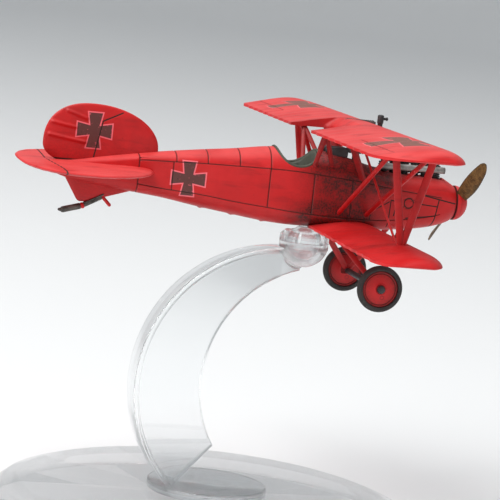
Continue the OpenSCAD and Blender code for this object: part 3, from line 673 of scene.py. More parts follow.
def fuselage_skin(side):
    """One half: a quarter ellipse over the deck, a flat side and a quarter ellipse below, at each distance.

    Panel lines sink along the surface's normal as bells; the first line of the grid follows the openings."""
    chosen = bpy.context.scene.biplane_fuselage
    deep, wide = chosen.seam_depth / MM, chosen.seam_width / MM
    first, last = cockpit_ends()
    turn = np.linspace(0, np.pi, 30)
    marks = (*TOP_LINES, *SIDE_LINES)
    d = places_between(0.05, LENGTH, 0.3, marks, wide * 0.7)
    rims = (first + last) / 2 + (last - first) / 2 * np.cos(turn)
    bay = np.array([BAY[0], BAY[0] + 0.03, BAY[1] - 0.03, BAY[1]])
    d = np.unique(np.concatenate([d, rims, bay, np.linspace(0.05, 3.0, 24)]))
    w, top, seam, keel, bottom = (q[:, None] for q in section(d))
    start = top_angle(d)[:, None]
    upper = places_between(0, 1, 0.05, (1,), 0.016)
    flat = places_between(0, 1, 0.06, (0, 1), 0.02)[1:]
    under = places_between(0, 1, 0.07, (0,), 0.02)[1:]
    a = start + (np.pi / 2 - start) * upper
    b = np.pi / 2 * under
    y = np.concatenate([w * np.sin(a), w + 0 * flat, w * np.cos(b)], 1)
    z = np.concatenate([seam + (top - seam) * np.cos(a), seam + (keel - seam) * flat,
                        keel + (bottom - keel) * np.sin(b)], 1)
    x = -d[:, None] + 0 * y
    p = np.stack([x, y, z], -1)
    behind = (d[:, None] > SEAM_RUN[0]) & (d[:, None] < SEAM_RUN[1])
    seams = np.maximum(bell(z - seam, wide * 0.9), bell(z - keel, wide * 0.9)) * behind
    deck = sum(bell(-x - at, wide) for at in TOP_LINES) * (z > seam)
    sides = sum(bell(-x - at, wide) for at in SIDE_LINES) * ((z <= seam) & (z >= keel))
    ring = bell(-x - 0.05, 0.09)
    port = bell(np.hypot(x - PORT[0], z - PORT[1]) - PORT[2], wide) * (z < seam + 1)
    bottom_lines = (bell(-x - 38.1, wide) + bell(-x - 13.2, wide)) * (z < keel)
    lines = np.clip(seams + deck + sides + ring + port + bottom_lines, 0, 1)
    out = normals(p)
    out = out * np.sign((out * [0, 1, 0.4]).sum(-1).mean())
    swell = sum(0.10 * bell(-x - at, long) * bell(z - high, tall) for at, high, long, tall in SIDE_FITTINGS)
    swell += sum(0.13 * bell(-x - at, 0.25) * bell(y, 0.5) for at in BELLY_FITTINGS) * (z < keel)
    p = p + out * (swell - deep * lines)[..., None]
    # Painted shadow under the upper wing, painted shade at the lower wing's root and under the belly, and a
    # dark patch beside the exhaust's rear end
    under_wing_shadow = np.clip(bell(-x - 14.2, 3.6) * 1.2, 0, 1) * np.clip(0.45 + z / 4.5, 0.3, 1)
    root = bell(-x - 15.4, 3.6) * bell(z + 2.6, 1.5)
    cowl = bell(-x - 9.9, 1.6) * bell(z - 2.2, 1.3)
    grime = np.clip(1.6 * under_wing_shadow + 2.2 * root + 1.3 * cowl + 0.22 * bell(y, 1.2) * (z < keel), 0, 1)
    p[..., 1] *= side
    return p, lines, grime


def wing_stub(side):
    """The short root that a fuselage half carries: the lower wing's own section, carried out to the wing."""
    y = np.linspace(1.2, LOWER_LOW[1], 6)
    p = wing_grid(y, LOWER, u_end=np.ones_like(y))[0]
    p[..., 1] *= side
    return p


class BIPLANE_OT_fuselage(bpy.types.Operator):
    """Two moulded fuselage shells with engraved panel lines, fittings and the lower wing's roots"""

    bl_idname = "biplane.fuselage"
    bl_label = "Fuselage halves"

    def execute(self, context):
        wall = context.scene.biplane_fuselage.wall / MM
        for side, name in SIDES:
            skin, lines, grime = fuselage_skin(side)
            shell = Shell().grid(skin, wash=lines, grime=grime)
            # Caps at both ends: the nose cap, in the gap behind the spinner, is painted fully dark as painted
            # shade; the tail cap a little darker
            for row, out, dark in ((0, 0.0, 1.0), (-1, -0.12, 0.3)):
                ring = skin[row]
                hub = np.array([ring[0, 0] + out, 0, (ring[0, 2] + ring[-1, 2]) / 2])
                shrink = np.linspace(1, 0.12, 5)[:, None, None]
                shell.grid(hub + (ring - hub) * shrink, wash=dark)
            shell.piece(f"fuselage_{name}_shell", "airframe", "red_paint", "red_fuselage",
                        f"fuselage_{name}_half", wall=wall)
            # The whole root is darkened: painted shade beside the fuselage
            stub = Shell().grid(wing_stub(side), around=True, ends=True, grime=0.5)
            stub.piece(f"wing_root_{name}", "airframe", "red_paint", "red_paint")
        return {"FINISHED"}


def rim_loop(count=96):
    """The cockpit's rim as a closed loop, back along one side and forward along the other."""
    first, last = cockpit_ends()
    turn = TAU * np.arange(count) / count
    d = (first + last) / 2 - (last - first) / 2 * np.cos(turn)
    w, top, seam = section(d)[:3]
    a = top_angle(d)
    return np.stack([-d, np.sign(np.sin(turn)) * w * np.sin(a), seam + (top - seam) * np.cos(a)], -1)


class BIPLANE_OT_cockpit(bpy.types.Operator):
    """Cockpit: padded rim, tub, seat with cushion, instrument board and control stick"""

    bl_idname = "biplane.cockpit"
    bl_label = "Cockpit"

    def execute(self, context):
        roll = context.scene.biplane_fuselage.rim_roll / MM
        loop = rim_loop()
        middle = np.array([-COCKPIT_AT, 0, 0])
        inner = (loop - middle) * [0.985, 0.965, 1] + middle
        stitches = 1 + 0.05 * np.cos(48 * TAU * np.arange(len(loop)) / len(loop))
        Shell().grid(tube(inner + [0, 0, 0.02], roll * stitches, 14, True), around=True, along=True).piece(
            "cockpit_rim_roll", "airframe", "cockpit_green", "cockpit_green", "cockpit_coaming")
        floor = -1.1
        t = np.linspace(0, 1, 14)[:, None, None]
        squeeze = np.concatenate([0.93 - 0.20 * t, 0.93 - 0.30 * t, 1 + 0 * t], -1)
        wall = (inner - middle) * squeeze + middle
        wall[..., 2] = inner[:, 2] - 0.05 + (floor - inner[:, 2]) * t[..., 0]
        frames = 0.5 * bell(np.abs(wall[..., 0] + COCKPIT_AT) - 1.1, 0.1)
        # Wash along the frames, and painted shade that deepens down the wall to the floor, which is painted
        # dark too
        Shell().grid(wall, around=True, wash=frames + 0.35 * t[..., 0]).grid(
            np.stack([wall[-1], wall[-1] * 0 + wall[-1].mean(0)]), around=True, wash=0.5).piece(
            "cockpit_tub_lining", "airframe", "cockpit_green", "cockpit_green", "cockpit_tub", wall=0.08)
        seat = Shell().grid(pillow((-COCKPIT_AT - 0.85, 0, -0.45), (0.8, 0.85, 0.35), 0.4))
        back = pillow((-COCKPIT_AT - 1.5, 0, 0.75), (0.2, 0.9, 1.35), 0.55)
        back[..., 0] -= 0.16 * (back[..., 2] - 0.4)
        seat.grid(back).piece("pilot_seat_cushion", "airframe", "brown_leather", "seat_leather", "pilot_seat")
        board = Shell().grid(pillow((-COCKPIT_AT + 1.75, 0, 1.9), (0.08, 1.5, 0.62), 0.3))
        for y, z, r in ((0, 2.0, 0.3), (-0.72, 1.95, 0.22), (0.72, 1.95, 0.22), (0, 1.45, 0.14)):
            dial = [(-0.04, 0.0), (-0.04, r * 0.8), (-0.09, r * 0.85), (-0.09, r), (0, r), (0, 0)]
            board.grid(revolve(dial, (-COCKPIT_AT + 1.66, y, z), "x", 20), around=True, wash=0.7)
        board.piece("instrument_board", "airframe", "cockpit_green", "cockpit_green")
        foot, top = (-COCKPIT_AT + 0.5, 0, -1.1), (-COCKPIT_AT + 0.3, 0, 1.0)
        stick = Shell().grid(rounded_rod(foot, top, 0.07), around=True)
        stick.grid(pillow((-COCKPIT_AT + 0.3, 0, 1.05), (0.12, 0.24, 0.1), 0.6), around=True)
        stick.piece("control_stick", "airframe", "black_paint", "gun_black")
        return {"FINISHED"}


# ---- engine and guns ---------------------------------------------------------

CYLINDERS_X = -2.45 - 1.3 * np.arange(6)


class BIPLANE_OT_engine(bpy.types.Operator):
    """In-line engine in the open cowl: crankcase, finned cylinders, springs and the camshaft housing"""

    bl_idname = "biplane.engine"
    bl_label = "Engine"

    def execute(self, context):
        shell = Shell().grid(pillow((-5.6, 0, 1.3), (3.9, 0.98, 1.25), 0.18, 20, 60), around=True)
        z = np.linspace(0, 1, 60)
        fins = 0.53 + 0.07 * np.sign(np.sin(TAU * 8 * z)) * (z < 0.85)
        barrel = np.stack([2.4 + 1.85 * z, np.where(z > 0.97, 0.3, fins)], 1)
        # Each cylinder: finned barrel, two valve springs, rocker cover and inlet pipe
        for at in CYLINDERS_X:
            shell.grid(revolve(barrel, (at, 0, 0), "z", 28), around=True, ends=True)
            for y in (-0.42, 0.42):
                turns = np.linspace(0, 1, 40)
                coil = 0.13 + 0.035 * np.sin(TAU * 6 * turns)
                spring = np.stack([4.2 + 0.6 * turns, coil], 1)
                shell.grid(revolve(spring, (at, y, 0), "z", 14), around=True, ends=True)
            shell.grid(pillow((at, 0, 4.72), (0.22, 0.52, 0.11), 0.5), around=True)
            shell.grid(rounded_rod((at + 0.5, 0.55, 2.3), (at + 0.5, 0.75, 4.0), 0.09, 6, 12), around=True)
        # Camshaft housing, and the water pipe beside the cylinders
        shell.grid(rounded_rod((-9.35, 0, 4.45), (-2.0, 0, 4.45), 0.26, 20, 20), around=True)
        shell.grid(rounded_rod((-9.0, 0.78, 3.2), (-2.3, 0.78, 3.2), 0.16, 20, 14), around=True)
        shell.piece("engine_detailed", "airframe", "black_paint", "engine_black", "engine_block")
        return {"FINISHED"}


class BIPLANE_OT_exhaust(bpy.types.Operator):
    """Exhaust pipe along the cowl, with a short stub from each cylinder"""

    bl_idname = "biplane.exhaust"
    bl_label = "Exhaust pipe"

    def execute(self, context):
        low, high = local("exhaust_manifold")
        y, z, radius = low[1] + 0.48, (low[2] + high[2]) / 2 + 0.08, 0.38
        s = np.linspace(0, 1, 120)
        x = low[0] + 0.02 + (high[0] - low[0] - 0.5) * s
        lump = sum(0.045 * bell(x - at, 0.3) for at in CYLINDERS_X)
        end = np.sqrt(np.clip(1 - np.clip(1 - (x - low[0]) / 0.5, 0, 1) ** 2, 0.01, 1))
        lip = 0.03 * bell(x - x[-1], 0.08)
        path = np.stack([x, y + 0 * x, z + 0 * x], 1)
        rust = 0.5 * bell(s - 0.02, 0.12) + 0.8 * bell(s - 1, 0.03)
        shell = Shell().grid(tube(path, (radius - 0.03) * end + lump + lip, 28), around=True, ends=True,
                             wash=rust[:, None])
        for at in CYLINDERS_X:
            reach = np.linspace(0, 1, 8)
            stub = np.stack([at + 0 * reach, -0.55 - reach * (-y - 0.55), z + 0.12 * (1 - reach)], 1)
            shell.grid(tube(stub, 0.2 + 0.05 * reach**2, 16), around=True, ends=True, wash=0.25)
        shell.piece("exhaust_pipe", "airframe", "steel_paint", "pipe_metal", "exhaust_manifold")
        return {"FINISHED"}


class BIPLANE_OT_guns(bpy.types.Operator):
    """Two machine guns: receivers, ribbed barrel jackets, muzzles and feed chutes"""

    bl_idname = "biplane.guns"
    bl_label = "Machine guns"

    def execute(self, context):
        shell = Shell()
        muzzle = [(-10.4, 0.1), (-10.1, 0.1), (-10.0, 0.14), (-9.8, 0.14)]
        for y in (-0.75, 0.75):
            bore = (0, y, 5.1)
            # Receiver, grip and feed chute
            shell.grid(pillow((-14.8, y, 4.85), (1.2, 0.25, 0.54), 0.22), around=True)
            shell.grid(pillow((-16.0, y, 4.95), (0.25, 0.16, 0.24), 0.4), around=True)
            shell.grid(pillow((-14.6, y * 0.55, 4.5), (0.45, 0.25, 0.2), 0.35), around=True)
            s = np.linspace(0, 1, 90)
            jacket = np.where(s > 0.97, 0.18, 0.225 + 0.03 * np.sin(TAU * 11 * s))
            barrel = np.stack([-13.7 + 3.3 * s, jacket], 1)
            shell.grid(revolve(barrel, bore, "x", 22), around=True, ends=True)
            shell.grid(revolve(muzzle, bore, "x", 18), around=True, ends=True)
            shell.grid(fair_bar((-12.4, y, 2.7), (-12.4, y, 5.0), 0.4, 0.2), around=True, ends=True)
        shell.piece("machine_guns_detailed", "airframe", "black_paint", "gun_black", "machine_guns")
        return {"FINISHED"}


# ---- wings -------------------------------------------------------------------


def wing_sizes(low, high, thick):
    """Half span, leading edge behind the nose, chord, height of the underside, and thickness."""
    return dict(half=high[1], front=-high[0], chord=high[0] - low[0], z=low[2], thick=thick)


UPPER = wing_sizes(UPPER_LOW, UPPER_HIGH, 1.35)
LOWER = wing_sizes(LOWER_LOW, LOWER_HIGH, 1.15)
# Half width and depth of the cut-out over the cockpit
CUT = (4.4, 4.8)
# Inner end, outer end, and the hinge's part of the chord
AILERON = (16.6, 28.6, 0.79)
TIP_RUN = 3.6


def bow(s, half, span, deep):
    """A quarter ellipse over the last part of the span, from 0 to deep."""
    t = np.clip((s - half + span) / span, 0, 1)
    return deep * (1 - np.sqrt(1 - t**2))


def tip_places(half):
    """Places along the last stretch of the span, closer towards the tip as a sine flattens."""
    return half - TIP_RUN * (1 - np.sin(np.linspace(0, np.pi / 2, 22)))


def wing_grid(y, wing, u_end, columns=30, aileron=False):
    """Sections carried along the span: a cambered top as a skewed sine of the chord's part, a flat underside
    that lifts at the nose. The covering sinks between ribs, and the trailing edge bends in between them."""
    chosen = bpy.context.scene.biplane_wings
    pitch, sag, scallop = chosen.rib_pitch / MM, chosen.sag / MM, chosen.scallop / MM
    s = np.abs(y)[:, None]
    half, chord, thick = wing["half"], wing["chord"], wing["thick"]
    front = wing["front"] + bow(s, half, 6, 2.8)
    back = wing["front"] + chord - bow(s, half, 4, chord - 5.2)
    rib = bell((s + pitch / 2) % pitch - pitch / 2, 0.24)
    inside = np.clip((half - 2.6 - s) / 1.5, 0, 1)
    bay_bow = 1 - np.abs(np.cos(np.pi * s / pitch)) ** 2
    back = back - scallop * bay_bow * inside * (u_end[:, None] > 0.99)
    grow = places_between(0, 1, 1 / columns, (AILERON[2],) if aileron else (), 0.012)
    share = (1 - np.cos(np.pi * grow**0.9)) / 2 * (1 - 0.35 * grow) + 0.35 * grow**2
    if aileron:
        share = np.sort(np.concatenate([share, AILERON[2] + np.array([-0.018, -0.009, 0, 0.009, 0.018])]))
    u = share * u_end[:, None]
    crown = (thick - 0.1) * np.sin(np.pi * u**0.62) + 0.3 * u + 0.16 * (1 - u)
    cut_edge = np.clip((u_end[:, None] - u) * chord / 1.5, 0, 1) ** 0.7
    crown = np.where(u_end[:, None] < 0.99, 0.25 + (crown - 0.25) * cut_edge, crown)
    window = np.clip((u - 0.1) / 0.15, 0, 1) * np.clip((1 - u) / 0.1, 0, 1) * inside
    crown = crown - sag * (1 - rib) * window
    keel = 0.16 * np.clip(1 - u / 0.12, 0, 1) ** 2 + 0.6 * sag * (1 - rib) * window
    tip = np.sqrt(np.clip(1 - np.clip((s - half + 1.8) / 1.8, 0, 1) ** 2.6, 0.02, 1))
    middle = 0.25 * thick
    crown, keel = middle + (crown - middle) * tip, middle + (keel - middle) * tip
    groove = np.zeros_like(u)
    if aileron:
        span = (s > AILERON[0]) & (s < AILERON[1])
        groove = bell((u - AILERON[2]) * chord, 0.07) * span
        ends = bell(s - AILERON[0], 0.07) + bell(s - AILERON[1], 0.07)
        groove = np.clip(groove + ends * (u > AILERON[2]), 0, 1)
        crown = crown - 0.06 * groove
    x = -(front + u * (back - front))
    top = np.stack([x, y[:, None] + 0 * u, wing["z"] + crown], -1)
    low = np.stack([x, y[:, None] + 0 * u, wing["z"] + keel], -1)
    ring = np.concatenate([top[:, ::-1], low[:, 1:]], 1)
    wash = np.concatenate([0.75 * groove[:, ::-1], 0.15 * rib * window[:, 1:]], 1)
    return ring, wash


class BIPLANE_OT_upper_wing(bpy.types.Operator):
    """Upper wing in one piece with ribbed covering, cut-out and ailerons, its radiator and header tank"""

    bl_idname = "biplane.upper_wing"
    bl_label = "Upper wing"

    def execute(self, context):
        half = UPPER["half"]
        edges = CUT[0] - 1 + np.sin(np.linspace(0, np.pi / 2, 9))
        inner = places_between(0, half - TIP_RUN, 0.22, AILERON[:2], 0.05)
        side = np.concatenate([inner, tip_places(half), edges, [CUT[0] + 0.012]])
        y = np.unique(np.round(np.concatenate([-side, side]), 4))
        s = np.abs(y)
        corner = CUT[1] - 1 + np.sqrt(np.clip(1 - np.clip(s - CUT[0] + 1, 0, 1) ** 2, 0, 1))
        u_end = np.where(s <= CUT[0] + 0.001, 1 - corner / UPPER["chord"], 1.0)
        ring, wash = wing_grid(y, UPPER, u_end, 34, True)
        # Darker towards the cut-out's edges
        dirt_and_shade = 0.21 * bell(s - CUT[0], 1.2)[:, None]
        Shell().grid(ring, around=True, ends=True, wash=wash, grime=dirt_and_shade).piece(
            "upper_wing_covered", "airframe", "red_paint", "red_wing", "upper_wing", crease=50)
        low, high = local("wing_radiator")
        centre, span = (low + high) / 2, (high - low) / 2
        radiator = Shell().grid(pillow(centre - [0, 0, 0.05], span - [0, 0, 0.03], 0.12, 16, 48), around=True)
        for at in np.linspace(low[0] + 0.25, high[0] - 0.25, 13):
            start, end = (at, low[1] + 0.1, high[2] - 0.05), (at, high[1] - 0.1, high[2] - 0.05)
            radiator.grid(rounded_rod(start, end, 0.06, 4, 10), around=True)
        radiator.piece("wing_radiator_louvres", "airframe", "black_paint", "radiator_dark", "wing_radiator")
        low, high = local("radiator_header")
        x, y0, z = low[0] + 0.38, (low[1] + high[1]) / 2, low[2]
        tall = high[2] - low[2]
        post = [(0, 0.0), (0, 0.28), (0.9, 0.3), (1.0, 0.37), (tall - 0.1, 0.37), (tall, 0.2), (tall, 0)]
        header = Shell().grid(revolve(round_profile(post, 0.06), (x, y0, z), "z", 28), around=True)
        spout, collar = z + 1.5, [(0, 0), (0, 0.22), (0.08, 0.22), (0.08, 0)]
        header.grid(rounded_rod((x, y0, spout), (high[0] - 0.02, y0, spout), 0.16, 8, 16), around=True)
        header.grid(revolve(collar, (high[0] - 0.22, y0, spout), "x", 18), around=True)
        header.piece("radiator_header_tank", "airframe", "black_paint", "gun_black", "radiator_header")
        return {"FINISHED"}


class BIPLANE_OT_lower_wings(bpy.types.Operator):
    """Two narrow lower wings with ribbed covering"""

    bl_idname = "biplane.lower_wings"
    bl_label = "Lower wings"

    def execute(self, context):
        half = LOWER["half"]
        y = np.unique(np.concatenate([places_between(LOWER_LOW[1], half - TIP_RUN, 0.22), tip_places(half)]))
        for side, name in SIDES:
            ring, wash = wing_grid(y, LOWER, np.ones_like(y), 32)
            # Painted shade at the wing's root beside the fuselage and round the strut's foot
            dirt_and_shade = (0.7 * bell(y - LOWER_LOW[1], 1.3) + 0.35 * bell(y - STRUT_Y, 0.8))[:, None]
            ring[..., 1] *= side
            Shell().grid(ring, around=True, ends=True, wash=wash, grime=dirt_and_shade).piece(
                f"lower_wing_{name}_covered", "airframe", "red_paint", "red_lower", f"lower_wing_{name}",
                crease=50)
        return {"FINISHED"}


# ---- struts ------------------------------------------------------------------

# Foot of the V struts, their place along the span, and that of the rods beside them
FOOT_X, STRUT_Y, OUTER_Y = -12.4, 20.4, 19.7
# Tops of the V struts
FRONT_X, REAR_X = -9.6, -14.2


class BIPLANE_OT_struts(bpy.types.Operator):
    """Wing struts: the V pair near the tips, the struts over the fuselage and the thin bracing rods"""

    bl_idname = "biplane.struts"
    bl_label = "Wing struts"

    def execute(self, context):
        under, over = UPPER["z"] + 0.15, LOWER["z"] + 0.75
        for side, name in SIDES:
            flip = np.array([1, side, 1])
            vee = Shell()
            for top in (FRONT_X, REAR_X):
                bar = fair_bar((FOOT_X, STRUT_Y, over), (top, STRUT_Y, under), 0.88, 0.52)
                vee.grid(bar * flip, around=True, ends=True)
                pad = pillow((top, STRUT_Y, under - 0.12), (0.56, 0.34, 0.1), 0.6)
                vee.grid(pad * flip, around=True, wash=0.3)
            vee.grid(pillow((FOOT_X, STRUT_Y, over + 0.05), (0.8, 0.34, 0.5), 0.8) * flip, around=True)
            vee.piece(f"vee_strut_{name}_faired", "airframe", "red_paint", "red_strut", f"vee_strut_{name}")
            cabane = Shell()
            w = section(np.array([11.6, 15.6, 18.0]))[0]
            for start, end, chord, thick in (
                ((-11.6, w[0] - 0.45, 1.3), (-14.9, 5.0, under), 0.8, 0.46),
                ((-15.6, w[1] - 0.75, 2.8), (-17.6, 5.0, under), 0.55, 0.4),
                ((-18.0, w[2] - 0.65, 2.6), (-17.6, 5.0, under), 0.55, 0.4),
            ):
                bar = fair_bar(start, end, chord, thick) * flip
                # Darkened all over: painted shade under the upper wing, and grimy paint
                cabane.grid(bar, around=True, ends=True, wash=0.12, grime=0.35)
            cabane.piece(f"cabane_struts_{name}_faired", "airframe", "red_paint", "red_strut",
                         f"cabane_struts_{name}")
            rods = Shell()
            for start, end, r in (
                ((-14.5, w[1] - 0.4, -2.1), (REAR_X, OUTER_Y, under), 0.27),
                ((-11.2, w[0] - 0.4, -2.1), (FRONT_X, OUTER_Y, under), 0.27),
                ((FOOT_X, OUTER_Y, over - 0.3), (-13.4, 4.0, under), 0.14),
            ):
                rods.grid(rounded_rod(start, end, r, 14) * flip, around=True)
            rods.piece(f"bracing_rods_{name}_round", "airframe", "red_paint", "red_strut",
                       f"bracing_rods_{name}")
        return {"FINISHED"}


# ---- tail --------------------------------------------------------------------


def plate(outline, centre, thick, height, rows=44, power=7.0):
    """A flat plate with a rounded rim: the outline shrunk to its centre, its two faces apart by thick, which
    falls at the rim as the root of 1 minus a high power of the radius. height(a, b) raises both faces."""
    s = np.concatenate([np.linspace(0, 0.86, rows), 1 - 0.14 * np.cos(np.linspace(0, np.pi / 2, 12))[1:]])
    s = np.sort(s)[:, None]
    a = centre[0] + s * (outline[:, 0] - centre[0])
    b = centre[1] + s * (outline[:, 1] - centre[1])
    half = thick / 2 * np.sqrt(np.clip(1 - s**power, 0, 1)) + height(a, b) * np.clip((1 - s) * 12, 0, 1)
    return a, b, half


def two_faces(a, b, half, order):
    """The grid of a plate's upper face, over the rim, and of its lower face."""
    faces = [np.stack([(a, b, sign * half)[k] for k in order], -1) for sign in (1, -1)]
    return np.concatenate([faces[0], faces[1][::-1][1:]], 0)


def resample(corner_points, count):
    """Even points along a closed outline, with the corners rounded by averaging neighbours twice."""
    q = np.array([*corner_points, corner_points[0]], float)
    run = np.concatenate([[0], np.cumsum(np.hypot(*np.diff(q, axis=0).T))])
    t = np.linspace(0, run[-1], count, endpoint=False)
    p = np.stack([np.interp(t, run, q[:, k]) for k in (0, 1)], 1)
    for _ in range(2):
        p = (np.roll(p, 1, 0) + 2 * p + np.roll(p, -1, 0)) / 4
    return p


class BIPLANE_OT_tailplane(bpy.types.Operator):
    """Tailplane with elevator: a rounded plan, raised ribs and a thin rounded rim"""

    bl_idname = "biplane.tailplane"
    bl_label = "Tailplane"

    def execute(self, context):
        middle = -0.95 * LENGTH
        a = TAU * (np.arange(240) + 0.5) / 240
        c, s = np.cos(a), np.sin(a)
        blunt = np.where(c > 0, 1, 0.8)
        half = TAIL_HIGH[1]
        x = middle + np.where(c > 0, 8.7 * c, -6.5 * np.abs(c) ** blunt)
        outline = np.stack([x, half * np.sign(s) * np.abs(s) ** blunt], 1)
        ribs = lambda p, q: 0.05 * bell((np.abs(q) + 0.75) % 1.5 - 0.75, 0.2) * (np.abs(q) > 0.8)
        p, q, thick = plate(outline, (middle, 0.0), TAIL_HIGH[2] - TAIL_LOW[2] - 0.04, ribs, power=9)
        grid = two_faces(p, q, thick, (0, 1, 2)) + [0, 0, (TAIL_LOW[2] + TAIL_HIGH[2]) / 2]
        Shell().grid(grid, around=True).piece(
            "tailplane_ribbed", "airframe", "red_paint", "red_tailplane", "tailplane")
        return {"FINISHED"}


class BIPLANE_OT_fin(bpy.types.Operator):
    """Fin and rudder: one rounded plate with three raised ribs on the rudder, and the small fin below"""

    bl_idname = "biplane.fin"
    bl_label = "Fin and rudder"

    def execute(self, context):
        middle, low = -0.918 * LENGTH, 3.2
        rise = FIN_HIGH[2] - low
        t = np.radians(np.linspace(0, 270, 280))
        c, s = np.cos(t), np.sin(t)
        rear = np.where(s >= 0, 0.85, 0.8)
        x = middle + np.where(c >= 0, 7.8 * c, -5.5 * np.abs(c) ** rear)
        z = low + np.where(s >= 0, rise * np.where(c >= 0, s, np.abs(s) ** 0.85), -2.4 * np.abs(s) ** 0.9)
        foot = np.linspace(0, 1, 40)[1:, None]
        last = np.array([x[-1], z[-1]])
        front = np.array([middle + 7.8, 1.4])
        outline = np.concatenate([np.stack([x, z], 1), last + foot * (front - last)])
        ribs = (((-46.6, 6.9), (-44.4, 6.2)), ((-48.6, 5.6), (-45.6, 5.1)), ((-48.5, 4.1), (-44.4, 3.5)))
        raised = lambda p, q: sum(
            0.22 * bell(segment_distance(p, q, *rib), 0.2) - 0.07 * bell(segment_distance(p, q, *rib), 0.5)
            for rib in ribs)
        hinge = lambda p, q: -0.05 * bell(segment_distance(p, q, *FIN_HINGE), 0.1)
        a, b, half = plate(outline, (middle - 0.4, 3.7), 0.56, lambda p, q: raised(p, q) + hinge(p, q), 56)
        low_down = np.concatenate([b, b[::-1][1:]], 0)
        # Darker towards the bottom
        dirt_and_shade = 0.4 * np.clip(1 - low_down / 5, 0, 1)
        Shell().grid(two_faces(a, b, half, (0, 2, 1)), around=True, grime=dirt_and_shade).piece(
            "fin_and_rudder_ribbed", "airframe", "red_paint", "red_fin", "fin_and_rudder")
        below = [(-0.79 * LENGTH, 0.0), (-0.985 * LENGTH, 0.3), (-0.94 * LENGTH, -3.1),
                 (-0.935 * LENGTH, -3.3), (-0.915 * LENGTH, -3.25), (-0.8 * LENGTH, -1.5)]
        a, b, half = plate(resample(below, 160), (-0.89 * LENGTH, -1.1), 0.56, lambda p, q: 0 * p, 30)
        Shell().grid(two_faces(a, b, half, (0, 2, 1)), around=True, grime=0.15).piece(
            "under_fin_plate", "airframe", "red_paint", "red_paint", "under_fin")
        return {"FINISHED"}


class BIPLANE_OT_skid(bpy.types.Operator):
    """Tail skid: a metal shoe on a bent arm, with its brace and red collar"""

    bl_idname = "biplane.skid"
    bl_label = "Tail skid"

    def execute(self, context):
        toe, knee = np.array([-0.977 * LENGTH, 0, -4.45]), np.array([-0.925 * LENGTH, 0, -3.75])
        root, prop = np.array([-0.878 * LENGTH, 0, -2.55]), np.array([-0.856 * LENGTH, 0, -3.6])
        skid = Shell()
        skid.grid(rounded_rod(toe, knee, 0.36, 10), around=True)
        skid.grid(rounded_rod(knee, root, 0.3, 10), around=True)
        skid.grid(pillow(toe + [0.3, 0, 0.06], (0.55, 0.3, 0.2), 0.7), around=True)
        for y in (-0.3, 0.3):
            start, end = knee + [0.2, y, 0.35], root + [0.1, y, 0.3]
            skid.grid(rounded_rod(start, end, 0.1, 8, 12), around=True)
        skid.piece("tail_skid_shoe", "airframe", "steel_paint", "skid_metal", "tail_skid")
        brace = Shell().grid(rounded_rod(prop, root, 0.2, 8), around=True)
        along = (root - knee) / np.linalg.norm(root - knee)
        brace.grid(rounded_rod(knee - along * 0.3, knee + along * 0.35, 0.38, 6), around=True)
        brace.piece("tail_skid_brace", "airframe", "red_paint", "red_paint")
        return {"FINISHED"}


# ---- undercarriage -----------------------------------------------------------

WHEEL = (WHEEL_LOW + WHEEL_HIGH) / 2
WHEEL_R = (WHEEL_HIGH[2] - WHEEL_LOW[2]) / 2
TYRE_R = 0.42
RIM_R = WHEEL_R - 1.3 * TYRE_R
HUB_HOLE_R = 0.42
# The ring of lacing that holds the cover to the rim
LACING_R = RIM_R - 0.34


class BIPLANE_OT_undercarriage(bpy.types.Operator):
    """Undercarriage: two V struts with cord lashings, the axle and its caps"""

    bl_idname = "biplane.undercarriage"
    bl_label = "Undercarriage struts"

    def execute(self, context):
        belly = LOWER["z"]
        for side, name in SIDES:
            flip = np.array([1, side, 1])
            eye = np.array([WHEEL[0], WHEEL[1] - 1.05, WHEEL[2]])
            legs = Shell()
            for top in ((-15.0, 2.05, belly + 0.1), (-6.6, 1.95, belly + 0.6)):
                legs.grid(fair_bar(eye, top, 0.72, 0.46) * flip, around=True, ends=True, grime=0.12)
            legs.grid(pillow(eye + [0, 0, 0.1], (0.62, 0.3, 0.68), 0.8) * flip, around=True)
            for lift in np.linspace(-0.32, 0.32, 5):
                a = TAU * np.arange(40) / 40
                loop = eye + np.stack([0.66 * np.cos(a), 0.36 * np.sin(a), lift + 0 * a], 1)
                legs.grid(tube(loop, 0.07, 10, True) * flip, around=True, along=True, wash=0.55)
            legs.piece(f"undercarriage_{name}_faired", "airframe", "red_paint", "red_strut",
                       f"undercarriage_strut_{name}")
        axle_low, axle_high = local("axle")
        reach, radius = axle_high[1], (axle_high[2] - axle_low[2]) / 2
        bar = round_profile([(-reach, 0), (-reach, radius), (reach, radius), (reach, 0)], 0.08)
        axle = Shell().grid(revolve(bar, (WHEEL[0], 0, WHEEL[2]), "y", 24), around=True)
        axle.piece("axle_turned", "airframe", "black_paint", "gun_black", "axle")
        caps = Shell()
        cap_low = local("axle_caps")[1][1] - 0.35
        for side in (-1, 1):
            hat = round_profile([(0, radius + 0.01), (0, 0.5), (0.2, 0.46), (0.33, 0.34), (0.34, 0.0)], 0.06)
            ring = revolve(hat * [side, 1] + [side * cap_low, 0], (WHEEL[0], 0, WHEEL[2]), "y", 28)
            caps.grid(ring, around=True)
        caps.piece("axle_caps_turned", "airframe", "black_paint", "gun_black", "axle_caps")
        return {"FINISHED"}


